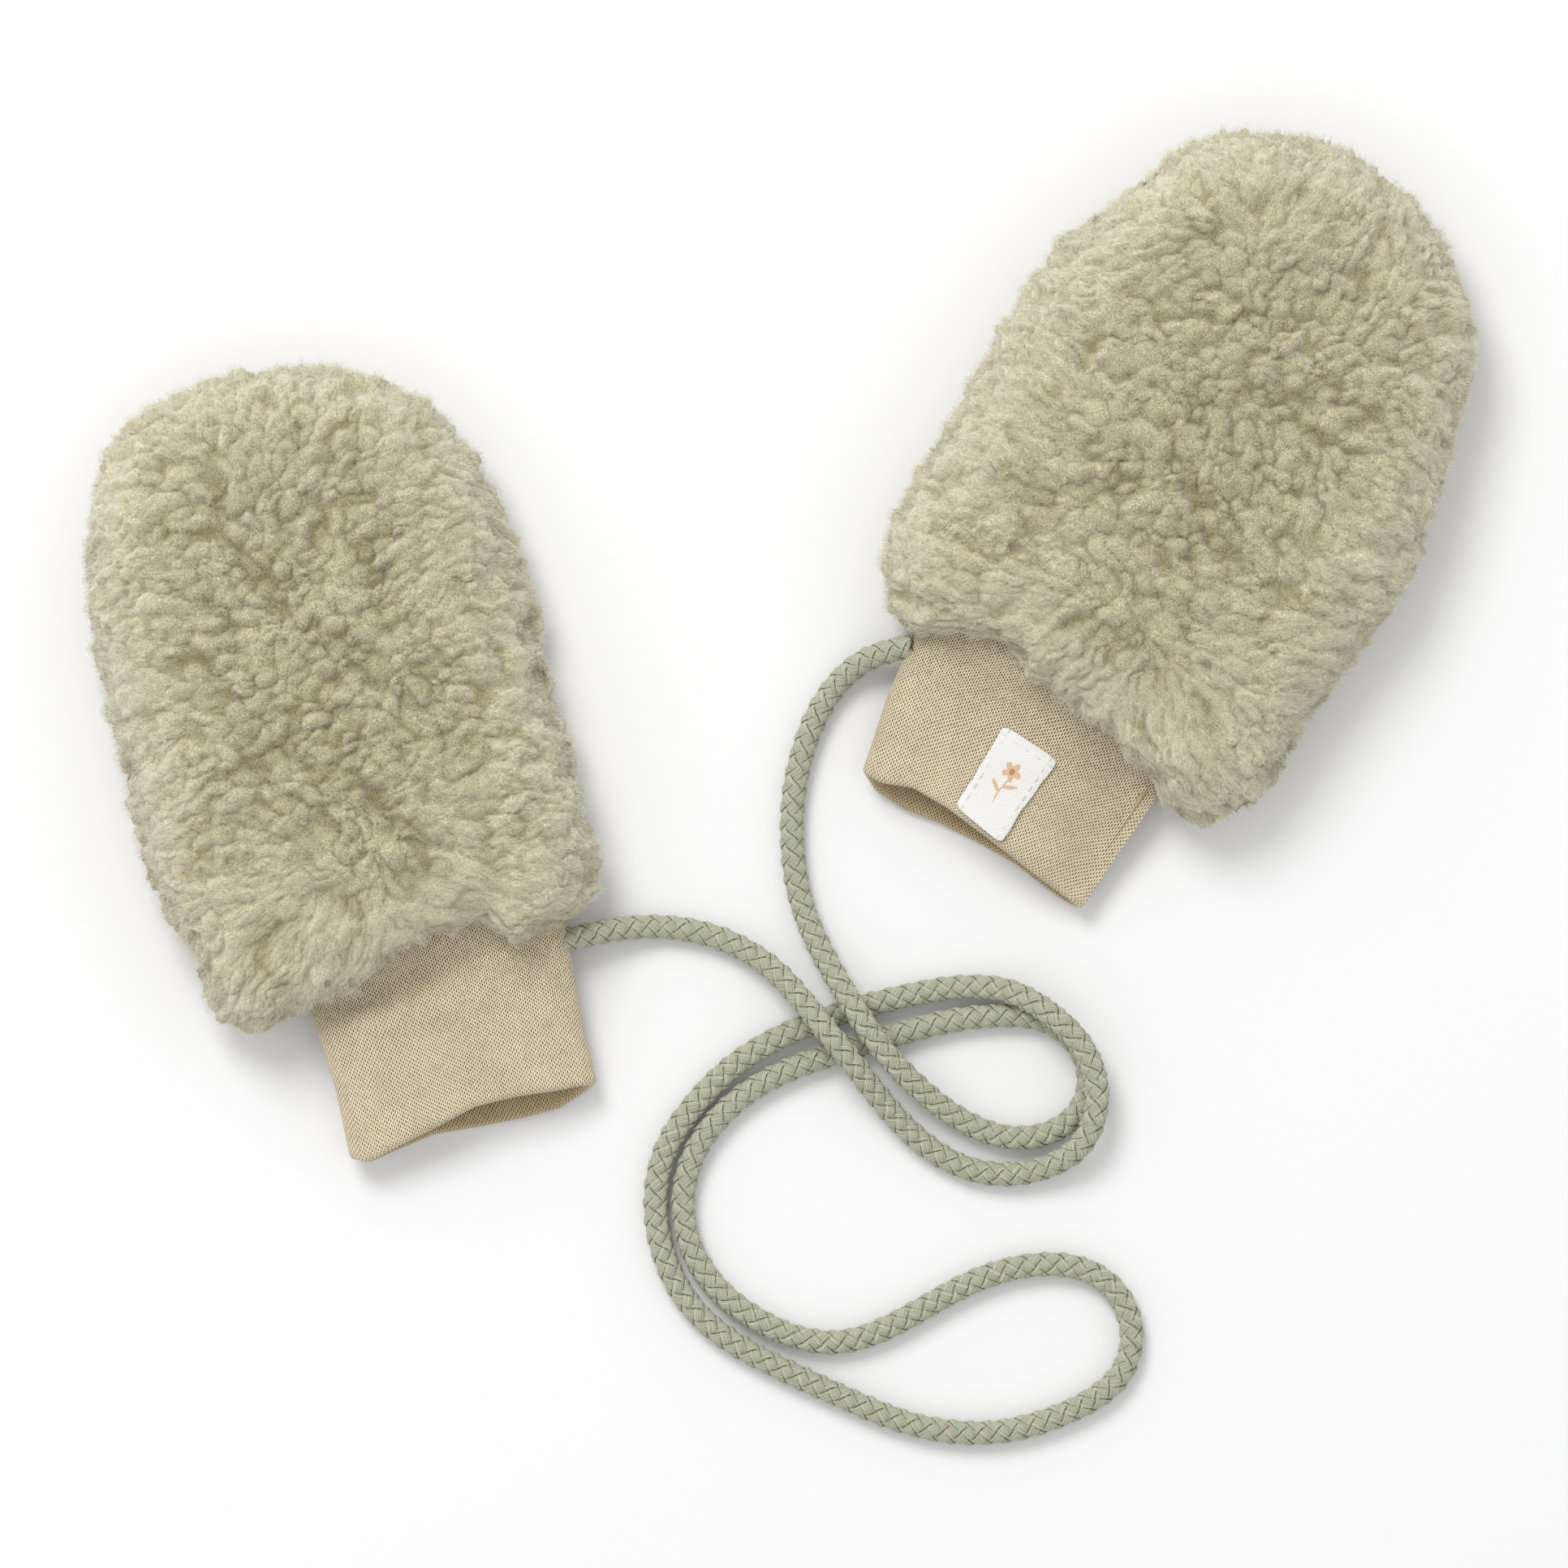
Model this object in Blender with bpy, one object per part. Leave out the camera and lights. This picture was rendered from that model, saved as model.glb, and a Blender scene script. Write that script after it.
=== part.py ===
"""A pair of baby mittens laid on a table, joined by one braided cord.

Each mitten is two panels of deep teddy pile (a top and a bottom, sewn along the sides and
round the fingertips) and a knitted cuff, folded double, sewn in under the pile.  The right
cuff carries a woven label.

Every mitten is drawn in its own flat frame: u runs across it, v from the wrist seam to the
fingertips, z up from the table.  Tables and sizes are in millimetres.
"""

import math
import random

import bmesh
import bpy
import numpy as np
from mathutils import Matrix, Vector

MM = 0.001
GAP = 0.3                  # clear space between pieces that touch

# --- body of a mitten -------------------------------------------------------------------
SEAM_Z = 9.6               # height of the side seam over the table
CROWN = 25.0               # height of the pile over the middle of the hand
CROWN_FALL = 2.2           # how much lower the crown is at the wrist and at the fingertips
BODY_LENGTH = 120.0        # wrist seam to fingertips
TOP_ROUND = 14.0           # how far in from the outline the top pile reaches its full height
LOW_ROUND = 9.0            # the same for the pile pressed under the hand
HEM_ROUND = 9.0            # rounding of the pile where it hangs over the cuff
HEM_LIP = 2.0              # thickness of the pile at that edge
HEM_LIP_LOW = 1.2
HEM_SIDE = 2.4             # how far past the cuff's sides the hem stays open
SIDE_PILE = 8.5            # pile outside the side seam, all round the hollow
HOLLOW_HALF = 3.2          # half the height of the hand's hollow
HOLLOW_ROUND = 7.0
SHOULDER_IN = 24.0         # above this the hollow follows the outline
TUFT_PITCH = 10.5          # lumps of the pile, on the crown
TUFT_RISE = 1.3
TUFT_REACH = 4.6
SCALLOP_LENGTH = 9.0       # lobes of the pile along the outline
SCALLOP_RISE = 0.9

# --- cuff -------------------------------------------------------------------------------
CLOTH = 2.3                # rib knit folded double
CUFF_END = 14.0            # the sewn end of the cuff, under the pile
CUFF_SQUARE = 2.4          # exponent of the flattened tube's section
FOLD_STEPS = 4             # facets round the folded hem

# --- label ------------------------------------------------------------------------------
LABEL_THICK = 0.5
LABEL_CORNERS = {"seam_left": (-3.8, -3.0), "seam_right": (8.1, -4.1),
                 "hem_left": (-4.8, -20.9), "hem_right": (6.0, -23.1)}

# --- cord -------------------------------------------------------------------------------
CORD_D = 4.6
CORD_STEP = 9.2            # spacing of the points that the cord's solid follows

# --- mesh -------------------------------------------------------------------------------
COLUMNS = 28               # across the outside of a panel
ROWS = 28                  # along it
IN_COLUMNS = COLUMNS // 2  # the plain inside has half as many
IN_ROWS = ROWS // 2
EDGE_EASE = 0.45           # how much closer the lines lie towards the outline
CORNER_COLUMNS = 5         # columns that spread from the cuff's side to the wrist's corner

# Outline of the pile seen from above, one row a section: height above the wrist seam, then
# the left and right edge.  "tip" is the point of the fingertips.  "wrist_left" and
# "wrist_right" are the corners where the side seam meets the hem.  "hem" is the edge of the
# pile over the cuff, as across, up.  "peek" is how far the top panel's edge lies inside the
# bottom panel's on the right side, as up, inset.
# "cuff" has one row a section: up, left, right, low, high.  "mouth" gives the folded hem:
# place across (-1 to 1), up on the top layer, up on the lower layer.
LEFT = {
    "name": "left",
    "at": (-64.6, -62.2),
    "turn": 13.5,
    "seed": 11,
    "wrist_left": (-41.0, -3.0),
    "wrist_right": (33.0, 6.4),
    "outline": [
        (4.0, -44.4, None),
        (13.0, -45.8, 35.0),
        (24.0, -48.8, 35.4),
        (35.0, -50.2, 36.0),
        (47.0, -49.6, 34.6),
        (59.0, -50.2, 35.2),
        (71.0, -49.8, 35.0),
        (82.0, -49.2, 33.6),
        (92.0, -47.5, 30.6),
        (101.0, -44.2, 26.2),
        (108.0, -40.0, 20.6),
        (113.3, -34.4, 13.0),
        (116.8, -26.0, 5.6),
    ],
    "tip": (-8.0, 119.0),
    "hem": [(-34.0, -4.2), (-26.4, -2.7), (-17.7, -1.4), (-13.2, 0.3), (-5.6, 3.9),
            (4.0, 5.6), (11.0, 5.6), (14.6, 0.8), (18.5, 1.2), (23.0, 2.6), (28.0, 4.0)],
    "peek": [(0.0, 0.0), (22.0, 0.2), (40.0, 2.0), (62.0, 2.6), (78.0, 1.6), (92.0, 0.0)],
    "cuff": [
        (14.0, -26.0, 26.0, 4.6, 14.6),
        (-8.0, -25.0, 24.8, 1.3, 12.3),
        (-17.0, -24.3, 24.2, 0.0, 11.0),
        (-32.0, -23.0, 24.2, 0.0, 10.2),
    ],
    "mouth": [
        (-1.0, -30.6, -30.9),
        (-0.9, -31.2, -31.4),
        (-0.68, -30.2, -30.9),
        (-0.35, -29.2, -30.4),
        (0.05, -26.8, -31.0),
        (0.4, -26.8, -31.3),
        (0.7, -27.5, -31.1),
        (1.0, -27.8, -28.6),
    ],
}

RIGHT = {
    "name": "right",
    "at": (47.4, -15.0),
    "turn": -28.0,
    "seed": 23,
    "wrist_left": (-32.0, 4.4),
    "wrist_right": (39.5, -2.6),
    "outline": [
        (4.0, None, 44.2),
        (13.0, -39.2, 47.4),
        (24.0, -41.2, 47.6),
        (35.0, -41.0, 49.2),
        (47.0, -40.2, 50.3),
        (58.0, -40.4, 51.6),
        (68.0, -39.8, 50.3),
        (78.0, -38.9, 48.6),
        (88.0, -35.8, 46.4),
        (97.0, -31.3, 44.0),
        (106.0, -27.6, 39.6),
        (113.5, -22.4, 31.6),
        (119.5, -13.6, 21.4),
    ],
    "tip": (3.0, 123.8),
    "hem": [(-28.6, 3.1), (-21.2, 6.3), (-16.4, 8.4), (-9.2, 8.6), (-5.0, 6.4), (1.0, 6.0),
            (7.5, 5.2), (13.0, 4.6), (16.5, 1.9), (24.0, 0.4), (27.5, -2.2), (33.0, -3.5)],
    "peek": [(0.0, 0.0), (100.0, 0.0)],
    "cuff": [
        (14.0, -27.6, 29.6, 4.6, 14.6),
        (-8.0, -26.0, 27.6, 1.3, 12.3),
        (-16.0, -24.6, 26.7, 0.0, 11.0),
        (-28.0, -22.6, 25.6, 0.0, 10.2),
    ],
    "mouth": [
        (-1.0, -23.4, -23.8),
        (-0.88, -23.6, -25.4),
        (-0.62, -21.6, -25.9),
        (-0.3, -21.9, -25.1),
        (0.05, -23.2, -24.9),
        (0.4, -24.6, -25.2),
        (0.75, -25.9, -26.6),
        (1.0, -26.6, -27.2),
    ],
}

# The cord's route on the table from the left cuff to the right one: x, y and height of its
# centre.  It leaves the left cuff's side, goes round a small loop, under itself, round a
# large loop, back under itself, round inside the small loop, over itself and up to the
# right cuff.
CORD_ROUTE = [
    (-39.7, -56.4, 7.2), (-32.2, -54.8, 5.0), (-23.7, -54.1, 2.6), (-11.7, -56.2, 2.3),
    (-2.0, -61.5, 4.0), (6.6, -70.7, 7.3), (13.2, -78.9, 7.3), (20.0, -87.7, 4.4),
    (29.4, -96.8, 2.4), (40.2, -101.1, 2.3), (50.8, -99.8, 3.4), (56.8, -96.1, 5.4),
    (59.8, -90.4, 7.0), (60.2, -83.9, 7.3), (57.7, -77.1, 7.3), (51.4, -70.5, 7.2),
    (42.8, -66.1, 4.3), (32.8, -65.8, 2.3), (22.8, -67.6, 2.3), (3.8, -73.5, 2.3),
    (-6.8, -79.2, 2.3), (-16.2, -88.1, 2.3), (-22.1, -97.9, 2.3), (-23.5, -107.9, 2.3),
    (-21.7, -117.3, 2.3), (-15.1, -128.1, 2.3), (-3.2, -136.4, 2.3), (11.0, -143.1, 2.3),
    (25.8, -148.9, 2.3), (40.8, -150.3, 2.3), (55.3, -146.3, 2.3), (65.3, -138.7, 2.3),
    (66.9, -129.7, 2.3), (61.0, -120.8, 2.3), (50.0, -118.4, 2.3), (36.0, -122.1, 2.3),
    (23.0, -129.2, 2.3), (10.6, -133.2, 2.3), (-2.4, -129.8, 2.3), (-12.8, -121.7, 2.3),
    (-17.9, -111.1, 2.3), (-16.8, -99.0, 2.3), (-9.6, -88.6, 2.3), (0.2, -82.1, 2.3),
    (12.8, -77.6, 2.3), (25.0, -73.9, 2.3), (33.8, -71.8, 2.3), (41.8, -71.0, 2.3),
    (50.1, -71.8, 2.3), (56.1, -75.8, 2.3), (58.9, -82.5, 2.3), (57.3, -88.8, 2.3),
    (52.2, -93.0, 2.3), (44.8, -94.3, 2.3), (35.8, -91.5, 2.8), (27.8, -85.8, 4.6),
    (18.7, -76.1, 7.3), (13.7, -68.5, 7.3), (9.0, -60.5, 4.6), (4.7, -50.9, 2.5),
    (2.5, -38.4, 2.3), (3.0, -27.6, 2.3), (6.2, -16.1, 2.3), (11.8, -7.1, 2.7),
    (17.2, -3.1, 4.8), (22.4, -1.4, 7.3),
]

COLOURS = {
    "teddy_pile": ((0.47, 0.44, 0.29), 0.95),
    "rib_knit": ((0.55, 0.47, 0.32), 0.9),
    "label_tape": ((0.86, 0.85, 0.82), 0.7),
    "cord_cotton": ((0.36, 0.39, 0.27), 0.85),
}


# --- lines and easing -------------------------------------------------------------------

def smooth_line(points, step):
    """A cubic spline through the points, read every `step` along it."""
    knots = np.array(points, dtype=float)
    spans = np.linalg.norm(np.diff(knots, axis=0), axis=1)
    place = np.concatenate([[0.0], np.cumsum(spans)])
    count = len(knots)
    system = np.zeros((count, count))
    system[0, 0] = system[-1, -1] = 1.0
    side = np.zeros_like(knots)
    for i in range(1, count - 1):
        system[i, i - 1] = spans[i - 1]
        system[i, i] = 2.0 * (spans[i - 1] + spans[i])
        system[i, i + 1] = spans[i]
        side[i] = 6.0 * ((knots[i + 1] - knots[i]) / spans[i]
                         - (knots[i] - knots[i - 1]) / spans[i - 1])
    bend = np.linalg.solve(system, side)
    line = []
    for s in np.linspace(0.0, place[-1], int(place[-1] / 0.25) + 1):
        i = min(int(np.searchsorted(place, s, side="right")) - 1, count - 2)
        span = spans[i]
        a = (place[i + 1] - s) / span
        b = 1.0 - a
        line.append(a * knots[i] + b * knots[i + 1]
                    + ((a ** 3 - a) * bend[i] + (b ** 3 - b) * bend[i + 1]) * span ** 2 / 6.0)
    line = np.array(line)
    total = np.sum(np.linalg.norm(np.diff(line, axis=0), axis=1))
    return read_line(line, np.linspace(0.0, 1.0, max(2, round(total / step)) + 1))


def read_line(line, fractions):
    """Points at the given fractions of a line's length."""
    place = np.concatenate([[0.0], np.cumsum(np.linalg.norm(np.diff(line, axis=0), axis=1))])
    at = np.asarray(fractions) * place[-1]
    return np.stack([np.interp(at, place, line[:, k]) for k in range(line.shape[1])], axis=1)


def eased(count, ease=EDGE_EASE):
    """count + 1 fractions from 0 to 1 that lie closer together at both ends."""
    even = np.linspace(0.0, 1.0, count + 1)
    return (1.0 - ease) * even + ease * (0.5 - 0.5 * np.cos(math.pi * even))


def rounded(ratio):
    """A quarter ellipse: 0 at the edge, 1 from one radius inwards."""
    inside = np.clip(ratio, 0.0, 1.0)
    return np.sqrt(np.maximum(0.0, 1.0 - (1.0 - inside) ** 2))


def smooth_step(value, low, high):
    t = np.clip((value - low) / (high - low), 0.0, 1.0)
    return t * t * (3.0 - 2.0 * t)


def distance(points, line):
    """Distance of each point to a polyline."""
    start, along = line[:-1], np.diff(line, axis=0)
    away = points[:, None, :] - start[None]
    t = np.clip((away * along).sum(2) / np.maximum((along ** 2).sum(1), 1e-9), 0.0, 1.0)
    return np.linalg.norm(away - t[..., None] * along, axis=2).min(axis=1)


def inset_line(line, amount):
    """The line moved to its right-hand side by amount (a number, or one for each point)."""
    along = np.gradient(line, axis=0)
    along /= np.linalg.norm(along, axis=1)[:, None]
    right = np.stack([along[:, 1], -along[:, 0]], axis=1)
    return line + right * np.reshape(amount, (-1, 1))


def shares(line):
    """How far along its line each point lies, from 0 to 1."""
    place = np.concatenate([[0.0], np.cumsum(np.linalg.norm(np.diff(line, axis=0), axis=1))])
    return place / place[-1]


def patch(bottom, top, left, right):
    """A Coons patch: a grid of points between four border lines, as [row][column]."""
    a = ((shares(bottom) + shares(top)) / 2)[None, :, None]
    b = ((shares(left) + shares(right)) / 2)[:, None, None]
    corners = ((1 - a) * (1 - b) * bottom[0] + a * (1 - b) * bottom[-1]
               + (1 - a) * b * top[0] + a * b * top[-1])
    return ((1 - a) * left[:, None] + a * right[:, None] + (1 - b) * bottom[None]
            + b * top[None] - corners)


# --- cuff section -----------------------------------------------------------------------

def cuff_section(mitten, up):
    """Middle across, half width, middle height and half height of the cuff at `up`."""
    table = np.array(mitten["cuff"])[::-1]
    left, right, low, high = (np.interp(up, table[:, 0], table[:, k]) for k in range(1, 5))
    return (left + right) / 2, (right - left) / 2, (low + high) / 2, (high - low) / 2


def bow(x):
    """Height of the flattened tube at x, from -1 to 1 across it."""
    return np.maximum(0.0, 1.0 - np.abs(x) ** CUFF_SQUARE) ** (1.0 / CUFF_SQUARE)


def cuff_line(mitten, up, inset, side, xs):
    """Points on the cuff's top (side 1) or lower (side -1) layer, at inset from outside."""
    middle, half_width, centre, half_height = cuff_section(mitten, up)
    across = middle + (half_width - inset) * xs
    height = centre + side * (half_height - inset) * bow(xs)
    return np.stack([across, np.broadcast_to(up, across.shape), height], axis=1)


def cuff_columns(count):
    return -np.cos(math.pi * np.linspace(0.0, 1.0, count + 1))


# --- outline and pile -------------------------------------------------------------------

def scallops(line, seed):
    """Uneven lobes of pile along the outline, as an outward distance for each point."""
    rng = random.Random(seed)
    place = np.concatenate([[0.0], np.cumsum(np.linalg.norm(np.diff(line, axis=0), axis=1))])
    ends = [0.0]
    while ends[-1] < place[-1]:
        ends.append(ends[-1] + SCALLOP_LENGTH * rng.uniform(0.7, 1.35))
    rises = [SCALLOP_RISE * rng.uniform(0.4, 1.2) for _ in ends]
    lobe = np.searchsorted(ends, place, side="right") - 1
    starts = np.array(ends + [ends[-1] + SCALLOP_LENGTH])
    inside = (place - starts[lobe]) / (starts[lobe + 1] - starts[lobe])
    return np.array(rises)[lobe] * (np.sin(math.pi * inside) - 0.5)


def side_outline(mitten):
    """The outline from the left corner of the wrist, round the fingertips, to the right."""
    rows = mitten["outline"]
    left = [(row[1], row[0]) for row in rows if row[1] is not None]
    right = [(row[2], row[0]) for row in rows if row[2] is not None]
    points = [mitten["wrist_left"]] + left + [mitten["tip"]] + right[::-1]
    return smooth_line(points + [mitten["wrist_right"]], 1.0)


def hem_outline(mitten):
    points = [mitten["wrist_left"]] + mitten["hem"] + [mitten["wrist_right"]]
    return smooth_line(points, 1.0)


def split_outline(line):
    """Left side, fingertips and right side; each runs upwards or to the right."""
    tip = int(np.argmax(line[:, 1]))
    reach = 30                     # points on either side of the tip that count as fingertips
    left, top, right = line[:tip - reach + 1], line[tip - reach:tip + reach + 1], line[tip + reach:]
    return left, top, right[::-1]


def tufts(points, seed):
    """Rounded lumps on a jittered triangular lattice, as a height for each point."""
    rng = random.Random(seed)
    low, high = points.min(axis=0), points.max(axis=0)
    height = np.zeros(len(points))
    row, up = 0, low[1]
    while up < high[1]:
        across = low[0] + (row % 2) * TUFT_PITCH / 2
        while across < high[0]:
            spot = np.array([across + rng.uniform(-2.6, 2.6), up + rng.uniform(-2.6, 2.6)])
            rise = TUFT_RISE * rng.uniform(0.45, 1.25)
            away = ((points - spot) ** 2).sum(axis=1)
            height += rise * np.exp(-away / (2.0 * (TUFT_REACH * 0.6) ** 2))
            across += TUFT_PITCH
        up += TUFT_PITCH * math.sqrt(0.75)
        row += 1
    return height - 0.4 * TUFT_RISE


# --- panels -----------------------------------------------------------------------------

def hem_edge(mitten, points, side):
    """Height of the hem's edge at points of the hem: over the cuff, or at the seam."""
    middle, half_width, centre, half_height = cuff_section(mitten, points[:, 1])
    shape = bow((points[:, 0] - middle) / (half_width + HEM_SIDE))
    lip = HEM_LIP if side > 0 else HEM_LIP_LOW
    over_cuff = (half_height + GAP) * shape + lip * np.sqrt(shape)
    far = smooth_step(np.abs(points[:, 0] - middle), half_width, half_width + 8.0)
    level = centre + (SEAM_Z - centre) * far
    return level + side * np.maximum(over_cuff, GAP / 2)


def hem_columns(mitten, hem):
    """Points along the hem: in step with the cuff's columns, wider out to the corners."""
    middle, half_width, _, _ = cuff_section(mitten, 0.0)
    across = middle + (half_width + HEM_SIDE) * cuff_columns(COLUMNS)
    for end, step in ((0, 1), (-1, -1)):
        reach = hem[end, 0] - across[end]
        for k in range(CORNER_COLUMNS):
            across[end + step * k] += reach * (1.0 - k / CORNER_COLUMNS) ** 2
    return np.column_stack([across, np.interp(across, hem[:, 0], hem[:, 1])])


def outside(mitten, side, outline, hem):
    """The outer face of a panel, as [row][column] of points."""
    left, top, right = split_outline(outline)
    columns, rows = eased(COLUMNS), eased(ROWS)
    flat = patch(hem_columns(mitten, hem), read_line(top, columns),
                 read_line(left, rows), read_line(right, rows))
    points = flat.reshape(-1, 2)
    from_side, from_hem = distance(points, outline), distance(points, hem)
    if side > 0:
        middle = np.abs(points[:, 1] / BODY_LENGTH - 0.5) * 2.0
        full = CROWN - CROWN_FALL * middle ** 2 - SEAM_Z
        body = full * rounded(from_side / TOP_ROUND)
        body += tufts(points, mitten["seed"]) * smooth_step(from_side, 1.0, 9.0)
    else:
        body = SEAM_Z * rounded(from_side / LOW_ROUND)
    level = SEAM_Z + side * np.maximum(body, GAP / 2)
    edge = hem_edge(mitten, points, side)
    height = edge + (level - edge) * rounded(from_hem / HEM_ROUND)
    if side < 0:
        height = np.where(from_side > LOW_ROUND, np.minimum(height, edge), height)
        height = np.maximum(height, 0.0)
        height[(from_side > LOW_ROUND) & (from_hem > HEM_ROUND)] = 0.0
    return np.column_stack([points, height]).reshape(ROWS + 1, COLUMNS + 1, 3)


def inside(mitten, side, outline):
    """The inner face of a panel, from the cuff's sewn end to the fingertips."""
    xs = cuff_columns(IN_COLUMNS)
    seam = cuff_line(mitten, CUFF_END + GAP, CLOTH, side, xs)
    left, top, right = split_outline(inset_line(outline, SIDE_PILE))
    sides = []
    for line, start, turn in ((left, seam[0], -1.0), (right, seam[-1], 1.0)):
        line = line[line[:, 1] > SHOULDER_IN]
        bend = (start[0] + turn * 0.8, start[1] + 3.0)
        sides.append(smooth_line([start[:2], bend] + list(line[:-3:6]) + [line[-1]], 1.0))
    rows, columns = eased(IN_ROWS), eased(IN_COLUMNS)
    flat = patch(seam[:, :2], read_line(top, columns),
                 read_line(sides[0], rows), read_line(sides[1], rows))
    points = flat.reshape(-1, 2)
    walls = np.concatenate([sides[0], top, sides[1][::-1]])
    half = HOLLOW_HALF * rounded(distance(points, walls) / HOLLOW_ROUND)
    _, _, centre, half_height = cuff_section(mitten, CUFF_END)
    at_seam = np.tile((half_height - CLOTH) * bow(xs), len(rows))
    share = smooth_step(points[:, 1], CUFF_END + GAP, CUFF_END + 14.0)
    half = at_seam + (half - at_seam) * share
    level = centre + (SEAM_Z - centre) * share
    height = level + side * np.maximum(half, GAP / 2)
    return np.column_stack([points, height]).reshape(IN_ROWS + 1, IN_COLUMNS + 1, 3)


def two_to_one(shell, outer, inner):
    """Three faces between two outer edges and one inner edge."""
    shell.faces.new((outer[0], outer[1], inner[0]))
    shell.faces.new((outer[1], inner[1], inner[0]))
    shell.faces.new((outer[1], outer[2], inner[1]))


def panel(mitten, side):
    """One pile panel: outer face, inner face, the flat rim at the seam and the hem."""
    outline = side_outline(mitten)
    hem = hem_outline(mitten)
    outline = inset_line(outline, -scallops(outline, mitten["seed"] + side))
    if side > 0:
        peek = np.array(mitten["peek"])
        right_side = np.arange(len(outline)) > np.argmax(outline[:, 1])
        outline = inset_line(outline, np.interp(outline[:, 1], peek[:, 0], peek[:, 1]) * right_side)
    outline[0], outline[-1] = mitten["wrist_left"], mitten["wrist_right"]
    outer = outside(mitten, side, outline, hem)
    inner = inside(mitten, side, side_outline(mitten))
    xs = cuff_columns(IN_COLUMNS)
    hem_up = np.interp(cuff_section(mitten, 0.0)[0] + cuff_section(mitten, 0.0)[1] * xs,
                       hem[:, 0], hem[:, 1])
    lip = np.concatenate([cuff_line(mitten, up + 0.6, -GAP, side, xs[k:k + 1])
                          for k, up in enumerate(hem_up)])
    ledge = cuff_line(mitten, CUFF_END + GAP, -GAP, side, xs)
    for row in (lip, ledge):
        centre = cuff_section(mitten, row[:, 1])[2]
        row[:, 2] = np.where(side * (row[:, 2] - centre) < GAP / 2, centre + side * GAP / 2, row[:, 2])

    shell = bmesh.new()

    def place(grid):
        return [[shell.verts.new(Vector(point) * MM) for point in row] for row in grid]

    out, within = place(outer), place(inner)
    lip_row, ledge_row = place([lip])[0], place([ledge])[0]
    for grid in (out, within):
        for lower, upper in zip(grid, grid[1:]):
            for k in range(len(lower) - 1):
                shell.faces.new((lower[k], lower[k + 1], upper[k + 1], upper[k]))
    # the flat rim along both sides and round the fingertips: two outer edges to each inner
    for column in (0, -1):
        for row in range(1, IN_ROWS):
            two_to_one(shell, [out[2 * row + k][column] for k in range(3)],
                       [within[row][column], within[row + 1][column]])
        shell.faces.new((out[0][column], out[1][column], out[2][column], ledge_row[column],
                         lip_row[column]))
        shell.faces.new((ledge_row[column], out[2][column], within[1][column]))
        shell.faces.new((ledge_row[column], within[1][column], within[0][column]))
    for k in range(IN_COLUMNS):
        two_to_one(shell, out[-1][2 * k:2 * k + 3], within[-1][k:k + 2])
        # the hem: over the lip, back along the cuff and down its sewn end
        two_to_one(shell, out[0][2 * k:2 * k + 3], lip_row[k:k + 2])
        shell.faces.new((lip_row[k], lip_row[k + 1], ledge_row[k + 1], ledge_row[k]))
        shell.faces.new((ledge_row[k], ledge_row[k + 1], within[0][k + 1], within[0][k]))
    side_word = "top" if side > 0 else "bottom"
    return finish(shell, f"{mitten['name']}_{side_word}_panel", "teddy_pile")


# --- cuff and label ---------------------------------------------------------------------

def mouth_up(mitten, side, xs):
    """Where the folded hem lies, for each place across the layer."""
    table = np.array(mitten["mouth"])
    top = np.interp(xs, table[:, 0], table[:, 1])
    low = np.interp(xs, table[:, 0], table[:, 2])
    return (top + low) / 2 + side * (top - low) / 2 * np.minimum(1.0, 2.0 * bow(xs))


def cuff_ring(mitten, share, inset, forward=0.0):
    """One ring round the cuff. share runs from 0 at the sewn end to 1 at the folded hem."""
    xs = cuff_columns(IN_COLUMNS)
    ring = []
    for side, order in ((1, range(len(xs))), (-1, range(len(xs) - 2, 0, -1))):
        hem = mouth_up(mitten, side, xs) + CLOTH / 2
        knee = mitten["cuff"][1][0]
        for k in order:
            if share < 0.5:
                up = CUFF_END + (knee - CUFF_END) * share * 2.0
            else:
                up = knee + (hem[k] - knee) * (share - 0.5) * 2.0 - forward
            ring.append(cuff_line(mitten, up, inset, side, xs[k:k + 1])[0])
    return ring


def cuff(mitten):
    """A flattened tube of knit with its outer end folded back inside, so it is double."""
    shares = (0.0, 0.25, 0.5, 0.65, 0.82, 1.0)
    rings = [cuff_ring(mitten, share, 0.0) for share in shares]
    for step in range(1, FOLD_STEPS):
        turn = math.pi * step / FOLD_STEPS
        inset = CLOTH / 2 * (1.0 - math.cos(turn))
        rings.append(cuff_ring(mitten, 1.0, inset, CLOTH / 2 * math.sin(turn)))
    rings += [cuff_ring(mitten, share, CLOTH) for share in shares[::-1]]
    shell = bmesh.new()
    rows = [[shell.verts.new(Vector(point) * MM) for point in ring] for ring in rings]
    for row, after in zip(rows, rows[1:] + rows[:1]):
        for k in range(len(row)):
            shell.faces.new((row[k], row[k - 1], after[k - 1], after[k]))
    return finish(shell, f"{mitten['name']}_cuff", "rib_knit")


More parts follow.
